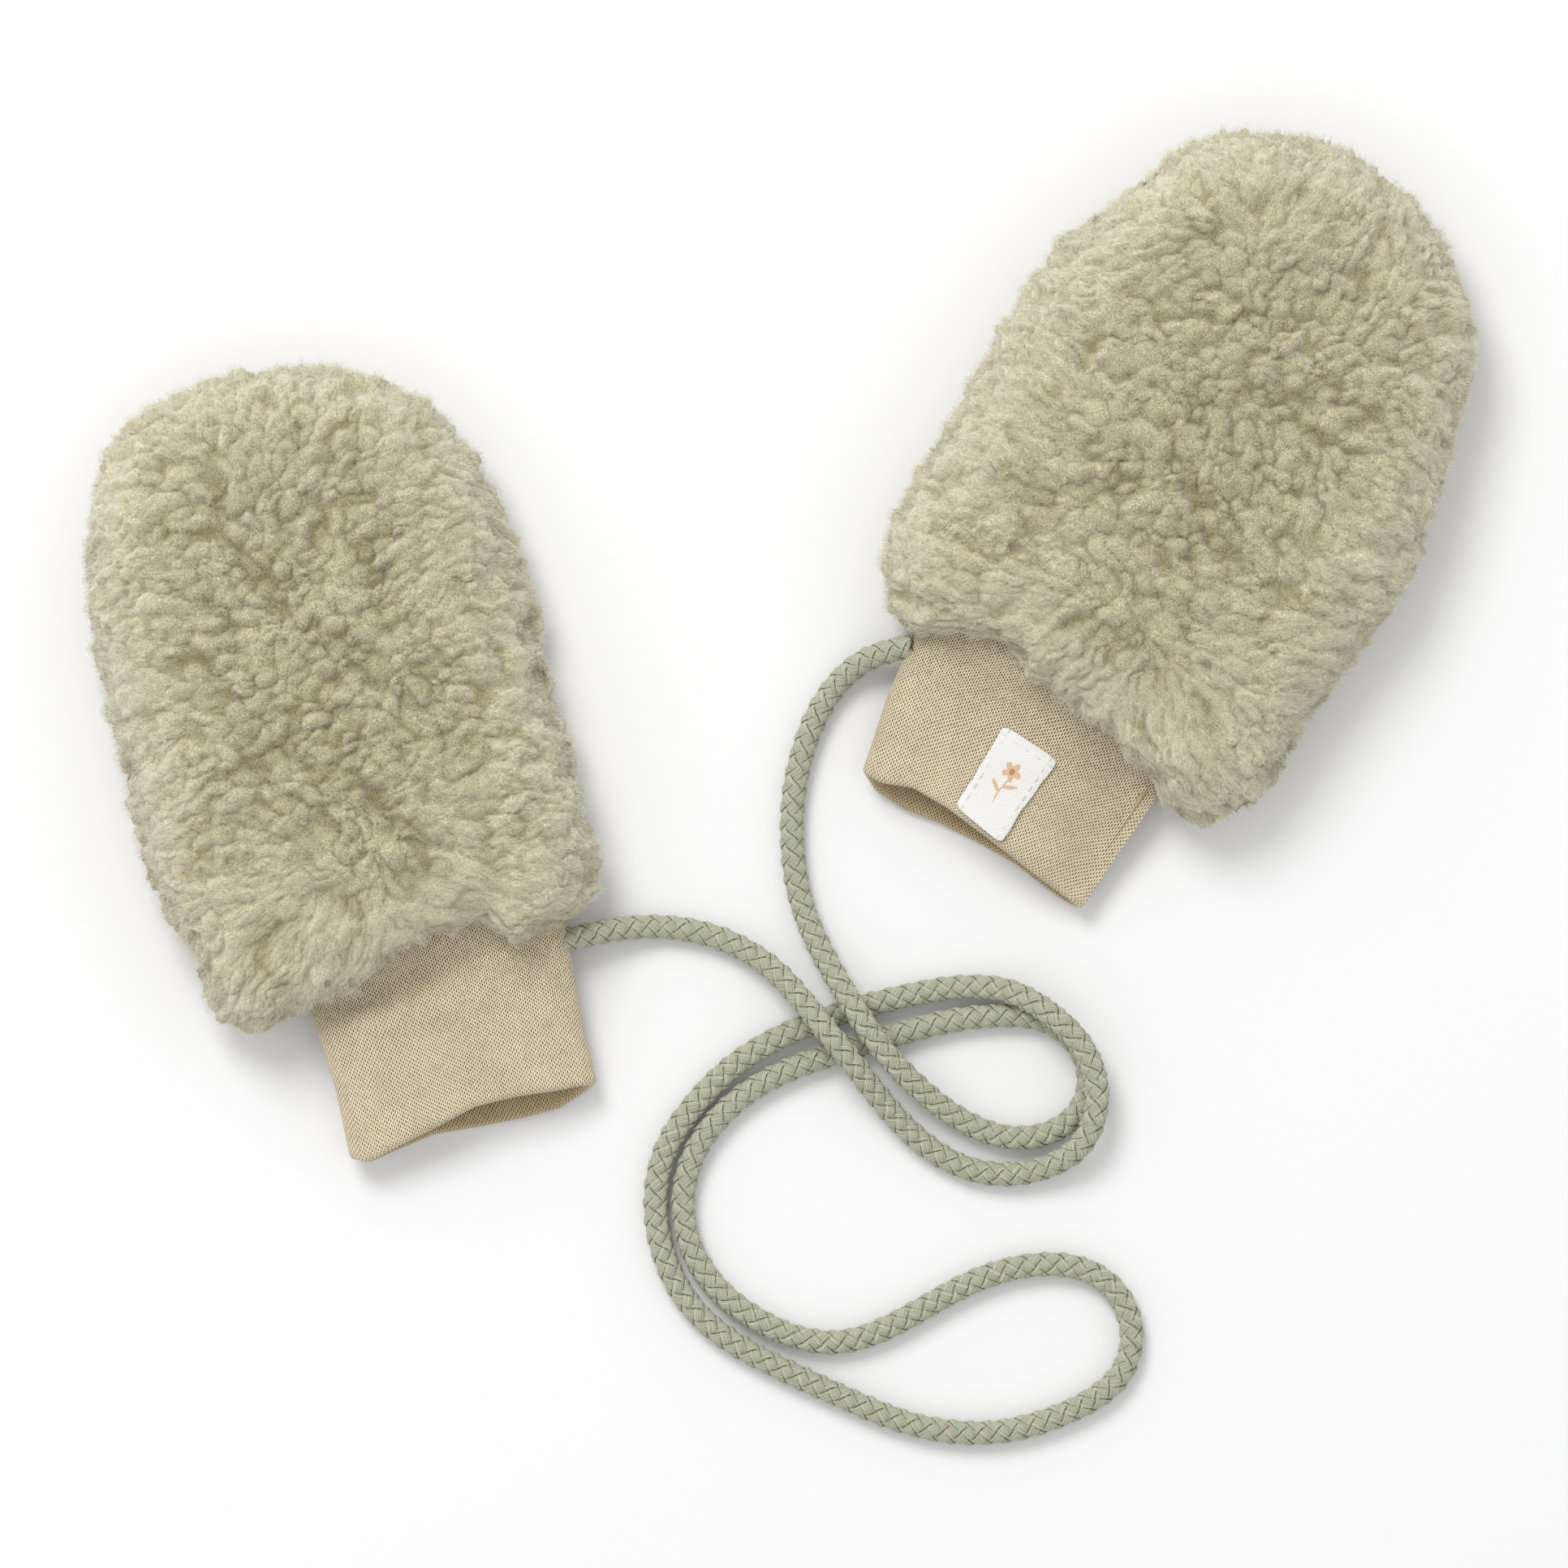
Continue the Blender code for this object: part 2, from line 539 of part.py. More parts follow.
def label(mitten):
    """A woven label on the cuff's top layer, moved out from the cuff's own surface."""
    columns, rows = 5, 8
    across, along = np.linspace(0, 1, columns + 1), np.linspace(0, 1, rows + 1)
    corner = {name: np.array(place) for name, place in LABEL_CORNERS.items()}
    shell = bmesh.new()
    layers = []
    for lift in (GAP, GAP + LABEL_THICK):
        layer = []
        for t in along:
            near = corner["seam_left"] + (corner["seam_right"] - corner["seam_left"]) * across[:, None]
            far = corner["hem_left"] + (corner["hem_right"] - corner["hem_left"]) * across[:, None]
            row = []
            for u, v in near + (far - near) * t:
                middle, half_width, centre, half_height = cuff_section(mitten, v)
                height = centre + half_height * bow((u - middle) / half_width) + lift
                row.append(shell.verts.new(Vector((u, v, height)) * MM))
            layer.append(row)
        layers.append(layer)
        for lower, upper in zip(layer, layer[1:]):
            for k in range(columns):
                shell.faces.new((lower[k], lower[k + 1], upper[k + 1], upper[k]))
    under, over = layers
    for a, b in zip(border(under), border(over)):
        shell.faces.new((a[0], a[1], b[1], b[0]))
    return finish(shell, f"{mitten['name']}_label", "label_tape")


def border(grid):
    """The edges round a grid of vertices, in order."""
    loop = (list(grid[0]) + [row[-1] for row in grid[1:]] + list(grid[-1][-2::-1])
            + [row[0] for row in grid[-2:0:-1]])
    return list(zip(loop, loop[1:] + loop[:1]))


# --- cord -------------------------------------------------------------------------------

def cord():
    """The braided cord as one tube along its route."""
    route = smooth_line(CORD_ROUTE, CORD_STEP)
    route[:, 2] = np.maximum(route[:, 2], CORD_D / 2)
    curve = bpy.data.curves.new("cord", "CURVE")
    curve.dimensions = "3D"
    curve.bevel_depth = CORD_D / 2 * MM
    curve.bevel_resolution = 2
    curve.use_fill_caps = True
    line = curve.splines.new("POLY")
    line.points.add(len(route) - 1)
    for knot, place in zip(line.points, route):
        knot.co = (*(place * MM), 1.0)
    thing = bpy.data.objects.new("cord", curve)
    bpy.context.collection.objects.link(thing)
    curve.materials.append(material("cord_cotton"))
    return thing


# --- objects ----------------------------------------------------------------------------

def material(name):
    if name in bpy.data.materials:
        return bpy.data.materials[name]
    colour, roughness = COLOURS[name]
    made = bpy.data.materials.new(name)
    made.use_nodes = True
    shader = made.node_tree.nodes["Principled BSDF"]
    shader.inputs["Base Color"].default_value = (*colour, 1.0)
    shader.inputs["Roughness"].default_value = roughness
    shader.inputs["Metallic"].default_value = 0.0
    return made


def finish(shell, name, finish_name):
    """Closes a bmesh into a smooth object with its faces turned outwards."""
    bmesh.ops.triangulate(shell, faces=shell.faces)
    bmesh.ops.recalc_face_normals(shell, faces=shell.faces)
    mesh = bpy.data.meshes.new(name)
    shell.to_mesh(mesh)
    shell.free()
    mesh.materials.append(material(finish_name))
    mesh.shade_smooth()
    mesh.set_sharp_from_angle(angle=math.radians(40.0))
    thing = bpy.data.objects.new(name, mesh)
    bpy.context.collection.objects.link(thing)
    return thing


def mitten_pair():
    for pattern in (LEFT, RIGHT):
        carrier = bpy.data.objects.new(f"{pattern['name']}_mitten", None)
        bpy.context.collection.objects.link(carrier)
        turn = Matrix.Rotation(math.radians(pattern["turn"]), 4, "Z")
        carrier.matrix_world = Matrix.Translation(Vector((*pattern["at"], 0.0)) * MM) @ turn
        pieces = [panel(pattern, 1), panel(pattern, -1), cuff(pattern)]
        if pattern is RIGHT:
            pieces.append(label(pattern))
        for piece in pieces:
            piece.parent = carrier


def main():
    for thing in list(bpy.data.objects):
        bpy.data.objects.remove(thing, do_unlink=True)
    mitten_pair()
    cord()


main()
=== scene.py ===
"""A pair of baby mittens laid flat: teddy pile, knitted cuffs, a woven label and one braided cord.

Sizes are in millimetres, and MM turns them into metres.  Each mitten has its own flat frame:
u runs across it and v from the wrist seam to the fingertips.
"""
import math

import bmesh
import bpy
import numpy as np
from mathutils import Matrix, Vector, bvhtree, kdtree, noise


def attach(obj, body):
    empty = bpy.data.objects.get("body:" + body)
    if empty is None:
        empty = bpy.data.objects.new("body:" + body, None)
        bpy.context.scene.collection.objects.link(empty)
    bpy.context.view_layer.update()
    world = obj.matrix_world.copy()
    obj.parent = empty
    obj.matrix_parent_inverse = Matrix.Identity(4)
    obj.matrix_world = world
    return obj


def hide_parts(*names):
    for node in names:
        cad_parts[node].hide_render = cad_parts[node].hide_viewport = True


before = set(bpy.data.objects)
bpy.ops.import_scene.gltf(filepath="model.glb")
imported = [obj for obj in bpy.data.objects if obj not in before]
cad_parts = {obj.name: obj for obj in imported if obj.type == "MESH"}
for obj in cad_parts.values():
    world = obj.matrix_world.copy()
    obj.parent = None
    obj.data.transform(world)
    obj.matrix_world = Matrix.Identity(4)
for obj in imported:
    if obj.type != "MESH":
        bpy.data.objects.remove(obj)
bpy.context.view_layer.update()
noise.seed_set(1)          # without it noise_vector is another one each run

MM = 0.001

# --- view -------------------------------------------------------------------------------
FIELD = 297.2              # width of the view at the height of the cord
FIELD_HEIGHT = 8.0
VIEW_CENTRE = (0.95, -26.98)
CAMERA_HEIGHT = 1500.0
FLOOR_SIZE = 6000.0

# --- cord -------------------------------------------------------------------------------
CORD_D = 4.6
STRANDS = 8                # half of them wind one way and half the other
BRAID_PITCH = 13.4         # length in which a strand goes round once
BRAID_STEP = 0.7
STRAND_WIDE = 2.35
STRAND_THICK = 1.0
STRAND_RING = 1.62         # radius of the strands' middle line
STRAND_LIFT = 0.38         # how far a strand rises where it passes over another
CORE_RADIUS = 1.3
SEWN_IN = 3.5              # how far each end goes on into its cuff
STRAND_SIDES = 8
STRAND_SQUARE = 0.75       # below 1 it makes a strand's section squarer than an oval
STRAND_YARNS = 7           # side by side in a strand's face

# --- pile -------------------------------------------------------------------------------
PILE_VOXEL = {"top": 1.1, "bottom": 1.6}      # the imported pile's mesh, halved where it shows
SPINE = (26.0, 84.0)       # the line from which the pile is brushed outwards, along v
SPINE_REACH = 42.0         # from there to the side of the mitten
# Puffs crowd together into locks.  Spacing, and how much longer than wide each one is, are for
# the middle and for the rim; "drop" is how far its form would fall within its own width,
# "steps" how much higher some stand than others, "crease" how deep the creases between are.
PUFFS = {"spacing": (2.5, 3.3), "stretch": (1.5, 3.9), "drop": 1.95, "steps": 1.05, "crease": 0.22}
LOCKS = {"spacing": (7.5, 8.0), "stretch": (2.2, 3.2), "drop": 0.6, "steps": 0.3, "crease": 0.3}
PUFF_SPREAD = 0.8          # how much puffs differ in size
SWELL = {"pitch": 6.5, "height": (0.5, 0.95)}     # of the soft rise and fall, middle to rim
BILLOW = {"pitch": 1.5, "height": 0.5}            # of the small curls on each puff
VALLEY = 0.22              # rounding of the valleys between puffs, in height
NEAR_PUFFS = 20            # how many puffs are looked at round each point
CREASE_WIDE = 0.36         # in height
BORDER_WARP = 1.5          # how far the puffs' borders wander
EYE = 0.7                  # other cloth is looked for from this far out of each point
SIGHT = 60.0               # cloth that faces this near is hidden
SHOWN = 0.9                # openness above which the pile is whole, and grows its fibres
LIP = 4.0                  # hidden cloth this near the face moves with it, and tucks in
LIP_TUCK = 0.5
SWIRL_PITCH = 2.2          # of the fine strands' sway, and how far they sway, middle to rim
SWIRL = (6.0, 2.2)
STRANDS_PER_MM = (1.0, 4.2, 1.0)              # along the way that the pile lies, across it, up
FUZZ_ROOM = 0.55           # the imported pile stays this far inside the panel's form
FIBRES = {"top": 1.9, "bottom": 1.2}          # to a square millimetre
FIBRE_LENGTH = 0.9
FIBRE_WIDTH = 0.11
FIBRE_CURL = 0.85
FIBRE_LEAN = 1.0           # of the lean's own length, about 2 mm at the rim
FIBRE_DRAW = 0.3           # how far fibres gather to the middle of their puff
FLOOR_CLEAR = 0.1

# --- cuff -------------------------------------------------------------------------------
CLOTH = 2.3                # knit folded double
CUFF_END = 14.0            # its sewn end, under the pile
CUFF_SQUARE = 2.4          # exponent of the flattened tube's section
CUFF_COLUMNS = 64          # across one layer
CUFF_ROWS = 44             # from the sewn end to the hem
FOLD_STEPS = 8
WALE = 0.41                # pitch of the knit's columns and rows
COURSE = 0.83
HOLE = (0.32, 0.35)        # half the hole's width and height, as shares of those

# --- label ------------------------------------------------------------------------------
LABEL_FACE = (11.6, 18.4)  # as the tape is woven, across and along
LABEL_THICK = 0.5
LABEL_LIFT = 0.3
LABEL_CORNERS = {"seam_left": (-3.8, -3.0), "seam_right": (8.1, -4.1),
                 "hem_left": (-4.8, -20.9), "hem_right": (6.0, -23.1)}
LABEL_COLUMNS, LABEL_ROWS = 56, 88
LABEL_SWAY = 0.018         # how far its sides stray from straight, as a share of its width
STITCH = (1.4, 0.28, 0.24)  # a stitch's length, width and thickness
STITCH_PITCH = 2.2
STITCH_INSET = (1.2, 1.7)  # from the label's sides and from its upper end

# The daisy woven on the label: from the tape's upper end down to its heart, then radii of the
# heart, of the dips between its five petals and how far the petals pass them, and its stem's
# width and length.  "leaves" has one row a leaf: side, how far below the heart; "leaf" is its
# half length and half width.
FLOWER = {"down": 6.6, "heart": 0.62, "between": 1.05, "petal": 0.95, "stem": 0.34,
          "stem_end": 6.6, "leaves": ((1.0, 3.3), (-1.0, 4.5)), "leaf": (1.25, 0.5)}

# "cuff" has one row a section: up, left, right, low, high.  "mouth" gives the folded hem:
# place across (-1 to 1), up on the top layer, up on the lower layer.  "creases" has one row
# a soft trough (depth above 0) or ridge on the cuff: from u, v, to u, v, depth, half width.
LEFT = {
    "name": "left", "at": (-64.6, -62.2), "turn": 13.5, "seed": 11, "spine_u": -7.0,
    "cuff": [
        (14.0, -26.0, 26.0, 4.6, 14.6),
        (-8.0, -25.0, 24.8, 1.3, 12.3),
        (-17.0, -24.3, 24.2, 0.0, 11.0),
        (-32.0, -24.8, 24.2, 0.0, 10.2),
    ],
    "mouth": [
        (-1.0, -31.2, -31.5),
        (-0.9, -32.4, -32.6),
        (-0.68, -31.0, -31.6),
        (-0.35, -29.2, -30.4),
        (0.05, -26.8, -31.0),
        (0.4, -26.8, -31.3),
        (0.7, -27.5, -31.1),
        (1.0, -27.8, -28.6),
    ],
    "creases": [
        (-23.0, -3.4, 11.0, 2.2, 3.2, 3.4),
        (-18.0, -8.0, 12.0, -6.0, -0.8, 3.2),
        (-6.0, -29.0, 4.0, -12.0, -0.5, 6.0),
        (12.0, -8.0, 20.0, -24.0, 0.35, 5.0),
        (-20.0, -14.0, -12.0, -28.0, 0.35, 4.5),
    ],
}
RIGHT = {
    "name": "right", "at": (47.4, -15.0), "turn": -28.0, "seed": 23, "spine_u": 6.0,
    "cuff": [
        (14.0, -27.6, 29.6, 4.6, 14.6),
        (-8.0, -26.0, 27.6, 1.3, 12.3),
        (-16.0, -24.6, 26.7, 0.0, 11.0),
        (-28.0, -22.6, 25.6, 0.0, 10.2),
    ],
    "mouth": [
        (-1.0, -23.4, -23.8),
        (-0.88, -23.6, -25.4),
        (-0.62, -21.6, -25.9),
        (-0.3, -21.9, -25.1),
        (0.05, -23.2, -24.9),
        (0.4, -24.6, -25.2),
        (0.75, -25.9, -26.6),
        (1.0, -26.6, -27.2),
    ],
    "creases": [
        (-21.0, 4.0, -10.0, -6.0, 0.7, 3.4),
        (-24.0, -4.0, -20.0, -16.0, -0.5, 4.0),
        (-15.0, 4.5, 24.0, -2.2, 2.8, 3.6),
        (13.0, -5.0, 17.0, -22.0, -0.5, 4.0),
        (29.0, 4.0, 29.0, -26.0, 6.5, 13.0),
    ],
}

# The cord's route on the table from the left cuff to the right one: x, y and height of its
# centre.
CORD_ROUTE = [
    (-39.7, -56.4, 7.2), (-32.2, -54.8, 5.0), (-23.7, -54.1, 2.6), (-11.7, -56.2, 2.3),
    (-2.0, -61.5, 4.0), (6.6, -70.7, 7.3), (13.2, -78.9, 7.3), (20.0, -87.7, 4.4),
    (29.4, -96.8, 2.4), (40.2, -101.1, 2.3), (50.8, -99.8, 3.4), (56.8, -96.1, 5.4),
    (59.8, -90.4, 7.0), (60.2, -83.9, 7.3), (57.7, -77.1, 7.3), (51.4, -70.5, 7.2),
    (42.8, -66.1, 4.3), (32.8, -65.8, 2.3), (22.8, -67.6, 2.3), (3.8, -73.5, 2.3),
    (-6.8, -79.2, 2.3), (-16.2, -88.1, 2.3), (-22.1, -97.9, 2.3), (-23.5, -107.9, 2.3),
    (-21.7, -117.3, 2.3), (-15.1, -128.1, 2.3), (-3.2, -136.4, 2.3), (11.0, -143.1, 2.3),
    (25.8, -148.9, 2.3), (40.8, -150.3, 2.3), (55.3, -146.3, 2.3), (65.3, -138.7, 2.3),
    (66.9, -129.7, 2.3), (61.0, -120.8, 2.3), (50.0, -118.4, 2.3), (36.0, -122.1, 2.3),
    (23.0, -129.2, 2.3), (10.6, -133.2, 2.3), (-2.4, -129.8, 2.3), (-12.8, -121.7, 2.3),
    (-17.9, -111.1, 2.3), (-16.8, -99.0, 2.3), (-9.6, -88.6, 2.3), (0.2, -82.1, 2.3),
    (12.8, -77.6, 2.3), (25.0, -73.9, 2.3), (33.8, -71.8, 2.3), (41.8, -71.0, 2.3),
    (50.1, -71.8, 2.3), (56.1, -75.8, 2.3), (58.9, -82.5, 2.3), (57.3, -88.8, 2.3),
    (52.2, -93.0, 2.3), (44.8, -94.3, 2.3), (35.8, -91.5, 2.8), (27.8, -85.8, 4.6),
    (18.7, -76.1, 7.3), (13.7, -68.5, 7.3), (9.0, -60.5, 4.6), (4.7, -50.9, 2.5),
    (2.5, -38.4, 2.3), (3.0, -27.6, 2.3), (6.2, -16.1, 2.3), (11.8, -7.1, 2.7),
    (17.2, -3.1, 4.8), (22.4, -1.4, 7.3),
]


# --- node graphs ------------------------------------------------------------------------

class Graph:
    """A shader or geometry node tree, built a node at a time."""

    def __init__(self, tree):
        self.tree = tree

    def add(self, kind, feeds=None, **settings):
        """A node with these settings.  feeds gives its inputs a value or another node's output."""
        node = self.tree.nodes.new(kind)
        for name, value in settings.items():
            setattr(node, name, value)
        for key, value in (feeds or {}).items():
            self.feed(self.socket(node.inputs, key), value)
        return node

    @staticmethod
    def socket(sockets, key):
        if isinstance(key, int):
            return sockets[key]
        return next(s for s in sockets if s.name == key and s.enabled)

    def feed(self, target, value):
        if isinstance(value, bpy.types.Node):
            value = next(s for s in value.outputs if s.enabled)
        if isinstance(value, bpy.types.NodeSocket):
            self.tree.links.new(value, target)
        else:
            target.default_value = value

    def out(self, node, name):
        return self.socket(node.outputs, name)

    def maths(self, operation, *values):
        return self.add("ShaderNodeMath", dict(enumerate(values)), operation=operation)

    def times(self, first, second):
        return self.maths("MULTIPLY", first, second)

    def plus(self, first, second):
        return self.maths("ADD", first, second)

    def vector(self, operation, *values):
        keys = (0, "Scale") if operation == "SCALE" else range(len(values))
        return self.add("ShaderNodeVectorMath", dict(zip(keys, values)), operation=operation)

    def scaled(self, vector, by):
        return self.vector("SCALE", vector, by)

    def moved(self, vector, by):
        return self.vector("ADD", vector, by)

    def joined(self, **axes):
        return self.add("ShaderNodeCombineXYZ", axes)

    def split(self, vector):
        parts = self.add("ShaderNodeSeparateXYZ", {"Vector": vector})
        return [self.out(parts, axis) for axis in "XYZ"]

    def painted(self, name, part="Vector"):
        """An attribute of the mesh as a material reads it."""
        return self.out(self.add("ShaderNodeAttribute", attribute_name=name), part)

    def mixed(self, factor, low, high, kind="RGBA"):
        return self.out(self.add("ShaderNodeMix", {"Factor": factor, "A": low, "B": high},
                                 data_type=kind), "Result")

    def span(self, value, low, high, to_low=0.0, to_high=1.0, kind="SMOOTHSTEP"):
        """value taken from the range low to high into another one, and kept inside it."""
        return self.add("ShaderNodeMapRange", {"Value": value, "From Min": low, "From Max": high,
                                               "To Min": to_low, "To Max": to_high},
                        interpolation_type=kind)


class Growth(Graph):
    """A geometry node tree with its sizes as named inputs."""

    def __init__(self, name, sizes):
        super().__init__(bpy.data.node_groups.new(name, "GeometryNodeTree"))
        face = self.tree.interface
        face.new_socket("Geometry", in_out="INPUT", socket_type="NodeSocketGeometry")
        for label, kind in sizes.items():
            face.new_socket(label, in_out="INPUT", socket_type=f"NodeSocket{kind}")
        face.new_socket("Geometry", in_out="OUTPUT", socket_type="NodeSocketGeometry")
        self.start = self.tree.nodes.new("NodeGroupInput")
        self.end = self.tree.nodes.new("NodeGroupOutput")

    def size(self, name):
        return self.start.outputs[name]

    def named(self, name, kind="FLOAT"):
        return self.add("GeometryNodeInputNamedAttribute", {"Name": name}, data_type=kind)

    def named_vector(self, name):
        return self.named(name, "FLOAT_VECTOR")

    def store(self, geometry, kind="FLOAT", **values):
        """The geometry with these values stored at its points under their names."""
        for name, value in values.items():
            geometry = self.add("GeometryNodeStoreNamedAttribute",
                                {"Geometry": geometry, "Name": name, "Value": value},
                                data_type=kind, domain="POINT")
        return geometry

    def store_vectors(self, geometry, **values):
        return self.store(geometry, "FLOAT_VECTOR", **values)

    def random(self, low, high, seed, kind="FLOAT"):
        return self.add("FunctionNodeRandomValue", {"Min": low, "Max": high, "Seed": seed},
                        data_type=kind)

    def finish(self, geometry, material, smooth=True):
        smooth = self.add("GeometryNodeSetShadeSmooth",
                          {"Geometry": geometry, "Shade Smooth": smooth})
        whole = self.add("GeometryNodeRealizeInstances", {"Geometry": smooth})
        painted = self.add("GeometryNodeSetMaterial", {"Geometry": whole, "Material": material})
        self.tree.links.new(painted.outputs[0], self.end.inputs[0])


def grow(name, seat, growth, sizes, drop=()):
    """Runs a geometry node tree on an object and returns what it makes as a plain mesh."""
    modifier = seat.modifiers.new("growth", "NODES")
    modifier.node_group = growth.tree
    for item in growth.tree.interface.items_tree:
        if item.item_type == "SOCKET" and item.in_out == "INPUT" and item.name in sizes:
            modifier[item.identifier] = sizes[item.name]
    seat.update_tag()
    bpy.context.view_layer.update()
    made = seat.evaluated_get(bpy.context.evaluated_depsgraph_get())
    mesh = bpy.data.meshes.new_from_object(made)
    seat.modifiers.remove(modifier)
    for attribute in drop:
        if attribute in mesh.attributes:
            mesh.attributes.remove(mesh.attributes[attribute])
    mesh.name = name
    return new_object(name, mesh)


def new_object(name, data):
    thing = bpy.data.objects.new(name, data)
    bpy.context.scene.collection.objects.link(thing)
    return thing


# --- lines and places -------------------------------------------------------------------

def smooth_line(points, step):
    """A cubic spline through the points, read every `step` along it."""
    knots = np.array(points, dtype=float)
    spans = np.linalg.norm(np.diff(knots, axis=0), axis=1)
    place = np.concatenate([[0.0], np.cumsum(spans)])
    count = len(knots)
    system, side = np.zeros((count, count)), np.zeros_like(knots)
    system[0, 0] = system[-1, -1] = 1.0
    for i in range(1, count - 1):
        system[i, i - 1:i + 2] = spans[i - 1], 2.0 * (spans[i - 1] + spans[i]), spans[i]
        side[i] = 6.0 * ((knots[i + 1] - knots[i]) / spans[i]
                         - (knots[i] - knots[i - 1]) / spans[i - 1])
    bend = np.linalg.solve(system, side)
    line = []
    for s in np.linspace(0.0, place[-1], int(place[-1] / 0.25) + 1):
        i = min(int(np.searchsorted(place, s, side="right")) - 1, count - 2)
        a = (place[i + 1] - s) / spans[i]
        b = 1.0 - a
        line.append(a * knots[i] + b * knots[i + 1]
                    + ((a ** 3 - a) * bend[i] + (b ** 3 - b) * bend[i + 1]) * spans[i] ** 2 / 6.0)
    line = np.array(line)
    at = np.concatenate([[0.0], np.cumsum(np.linalg.norm(np.diff(line, axis=0), axis=1))])
    even = np.linspace(0.0, at[-1], max(2, round(at[-1] / step)) + 1)
    return np.stack([np.interp(even, at, line[:, k]) for k in range(3)], axis=1)


def smooth_step(value, low, high):
    t = np.clip((value - low) / (high - low), 0.0, 1.0)
    return t * t * (3.0 - 2.0 * t)


def laid_down(mitten, points):
    """Points of the mitten's frame, in millimetres, on the table in metres."""
    turn = math.radians(mitten["turn"])
    u, v, z = np.moveaxis(np.asarray(points, dtype=float), -1, 0)
    x = mitten["at"][0] + u * math.cos(turn) - v * math.sin(turn)
    y = mitten["at"][1] + u * math.sin(turn) + v * math.cos(turn)
    return np.stack([x, y, z], axis=-1) * MM


# --- finishes ---------------------------------------------------------------------------

def finish_graph(name, roughness, sheen):
    made = bpy.data.materials.new(name)
    made.use_nodes = True
    graph = Graph(made.node_tree)
    shader = made.node_tree.nodes["Principled BSDF"]
    shader.inputs["Roughness"].default_value = roughness
    shader.inputs["Specular IOR Level"].default_value = 0.2
    shader.inputs["Sheen Weight"].default_value = sheen
    shader.inputs["Sheen Roughness"].default_value = 0.5
    shader.inputs["Sheen Tint"].default_value = (1.0, 0.95, 0.8, 1.0)
    return made, graph, shader


def object_noise(graph, per_mm, detail=2.0, roughness=0.5, distortion=0.0):
    """Noise on the object's own place, with this many lumps to a millimetre."""
    place = graph.out(graph.add("ShaderNodeTexCoord"), "Object")
    return graph.add("ShaderNodeTexNoise",
                     {"Vector": place, "Scale": per_mm / MM, "Detail": detail,
                      "Roughness": roughness, "Distortion": distortion}).outputs[0]


def strand_noise(graph, rim):
    """Noise drawn out into fine strands: swirling in the middle, brushed outwards at the rim."""
    place = graph.scaled(graph.out(graph.add("ShaderNodeTexCoord"), "Object"), 1.0 / MM)
    sway = graph.add("ShaderNodeTexNoise", {"Vector": place, "Scale": 1.0 / SWIRL_PITCH,
                                            "Detail": 1.0, "Roughness": 0.6})
    sway = graph.scaled(graph.vector("SUBTRACT", graph.out(sway, "Color"), (0.5,) * 3),
                        graph.span(rim, 0.2, 0.9, *SWIRL))
    drawn = graph.vector("MULTIPLY", graph.moved(graph.painted("sweep"), sway), STRANDS_PER_MM)
    return graph.add("ShaderNodeTexNoise", {"Vector": drawn, "Scale": 1.0, "Detail": 3.0,
                                            "Roughness": 0.75, "Distortion": 0.4}).outputs[0]


def bumped(graph, shader, height, distance_mm, strength=1.0):
    bump = graph.add("ShaderNodeBump", {"Height": height, "Distance": distance_mm * MM,
                                        "Strength": strength})
    graph.feed(shader.inputs["Normal"], bump)


def pile_finish(name, grained):
    """Wool-like fibre: light crowns, warm darker creases of painted shade, a paler rim of painted
    light.
    """
    made, graph, shader = finish_graph(name, 0.9, 1.0)
    shader.inputs["Subsurface Weight"].default_value = 0.7
    shader.inputs["Subsurface Radius"].default_value = (1.0, 0.9, 0.65)
    shader.inputs["Subsurface Scale"].default_value = 1.0 * MM
    depth, tone, rim = graph.split(graph.painted("shade"))
    # The first colour is the creases' painted shade, the last the rim's painted light.
    deep, crown, rim_light = (0.345, 0.295, 0.14, 1), (0.585, 0.54, 0.35, 1), (0.65, 0.61, 0.43, 1)
    lit = graph.mixed(rim, crown, rim_light)
    colour = graph.mixed(graph.span(depth, 0.12, 0.92), deep, lit)
    light = graph.span(tone, 0.0, 1.0, *((0.92, 1.05) if grained else (0.84, 1.12)), "LINEAR")
    if grained:
        strand = strand_noise(graph, rim)
        grain = object_noise(graph, 3.8, detail=3.0, roughness=0.85, distortion=1.0)
        low = graph.span(rim, 0.0, 1.0, 0.36, 0.7, "LINEAR")
        high = graph.span(rim, 0.0, 1.0, 1.34, 1.2, "LINEAR")
        light = graph.times(light, graph.span(grain, 0.36, 0.62, low, high))
        light = graph.times(light, graph.span(strand, 0.34, 0.64, 0.72, 1.16))
        bumped(graph, shader, graph.plus(strand, grain), 0.22, 1.0)
    graph.feed(shader.inputs["Base Color"], graph.scaled(colour, light))
    return made


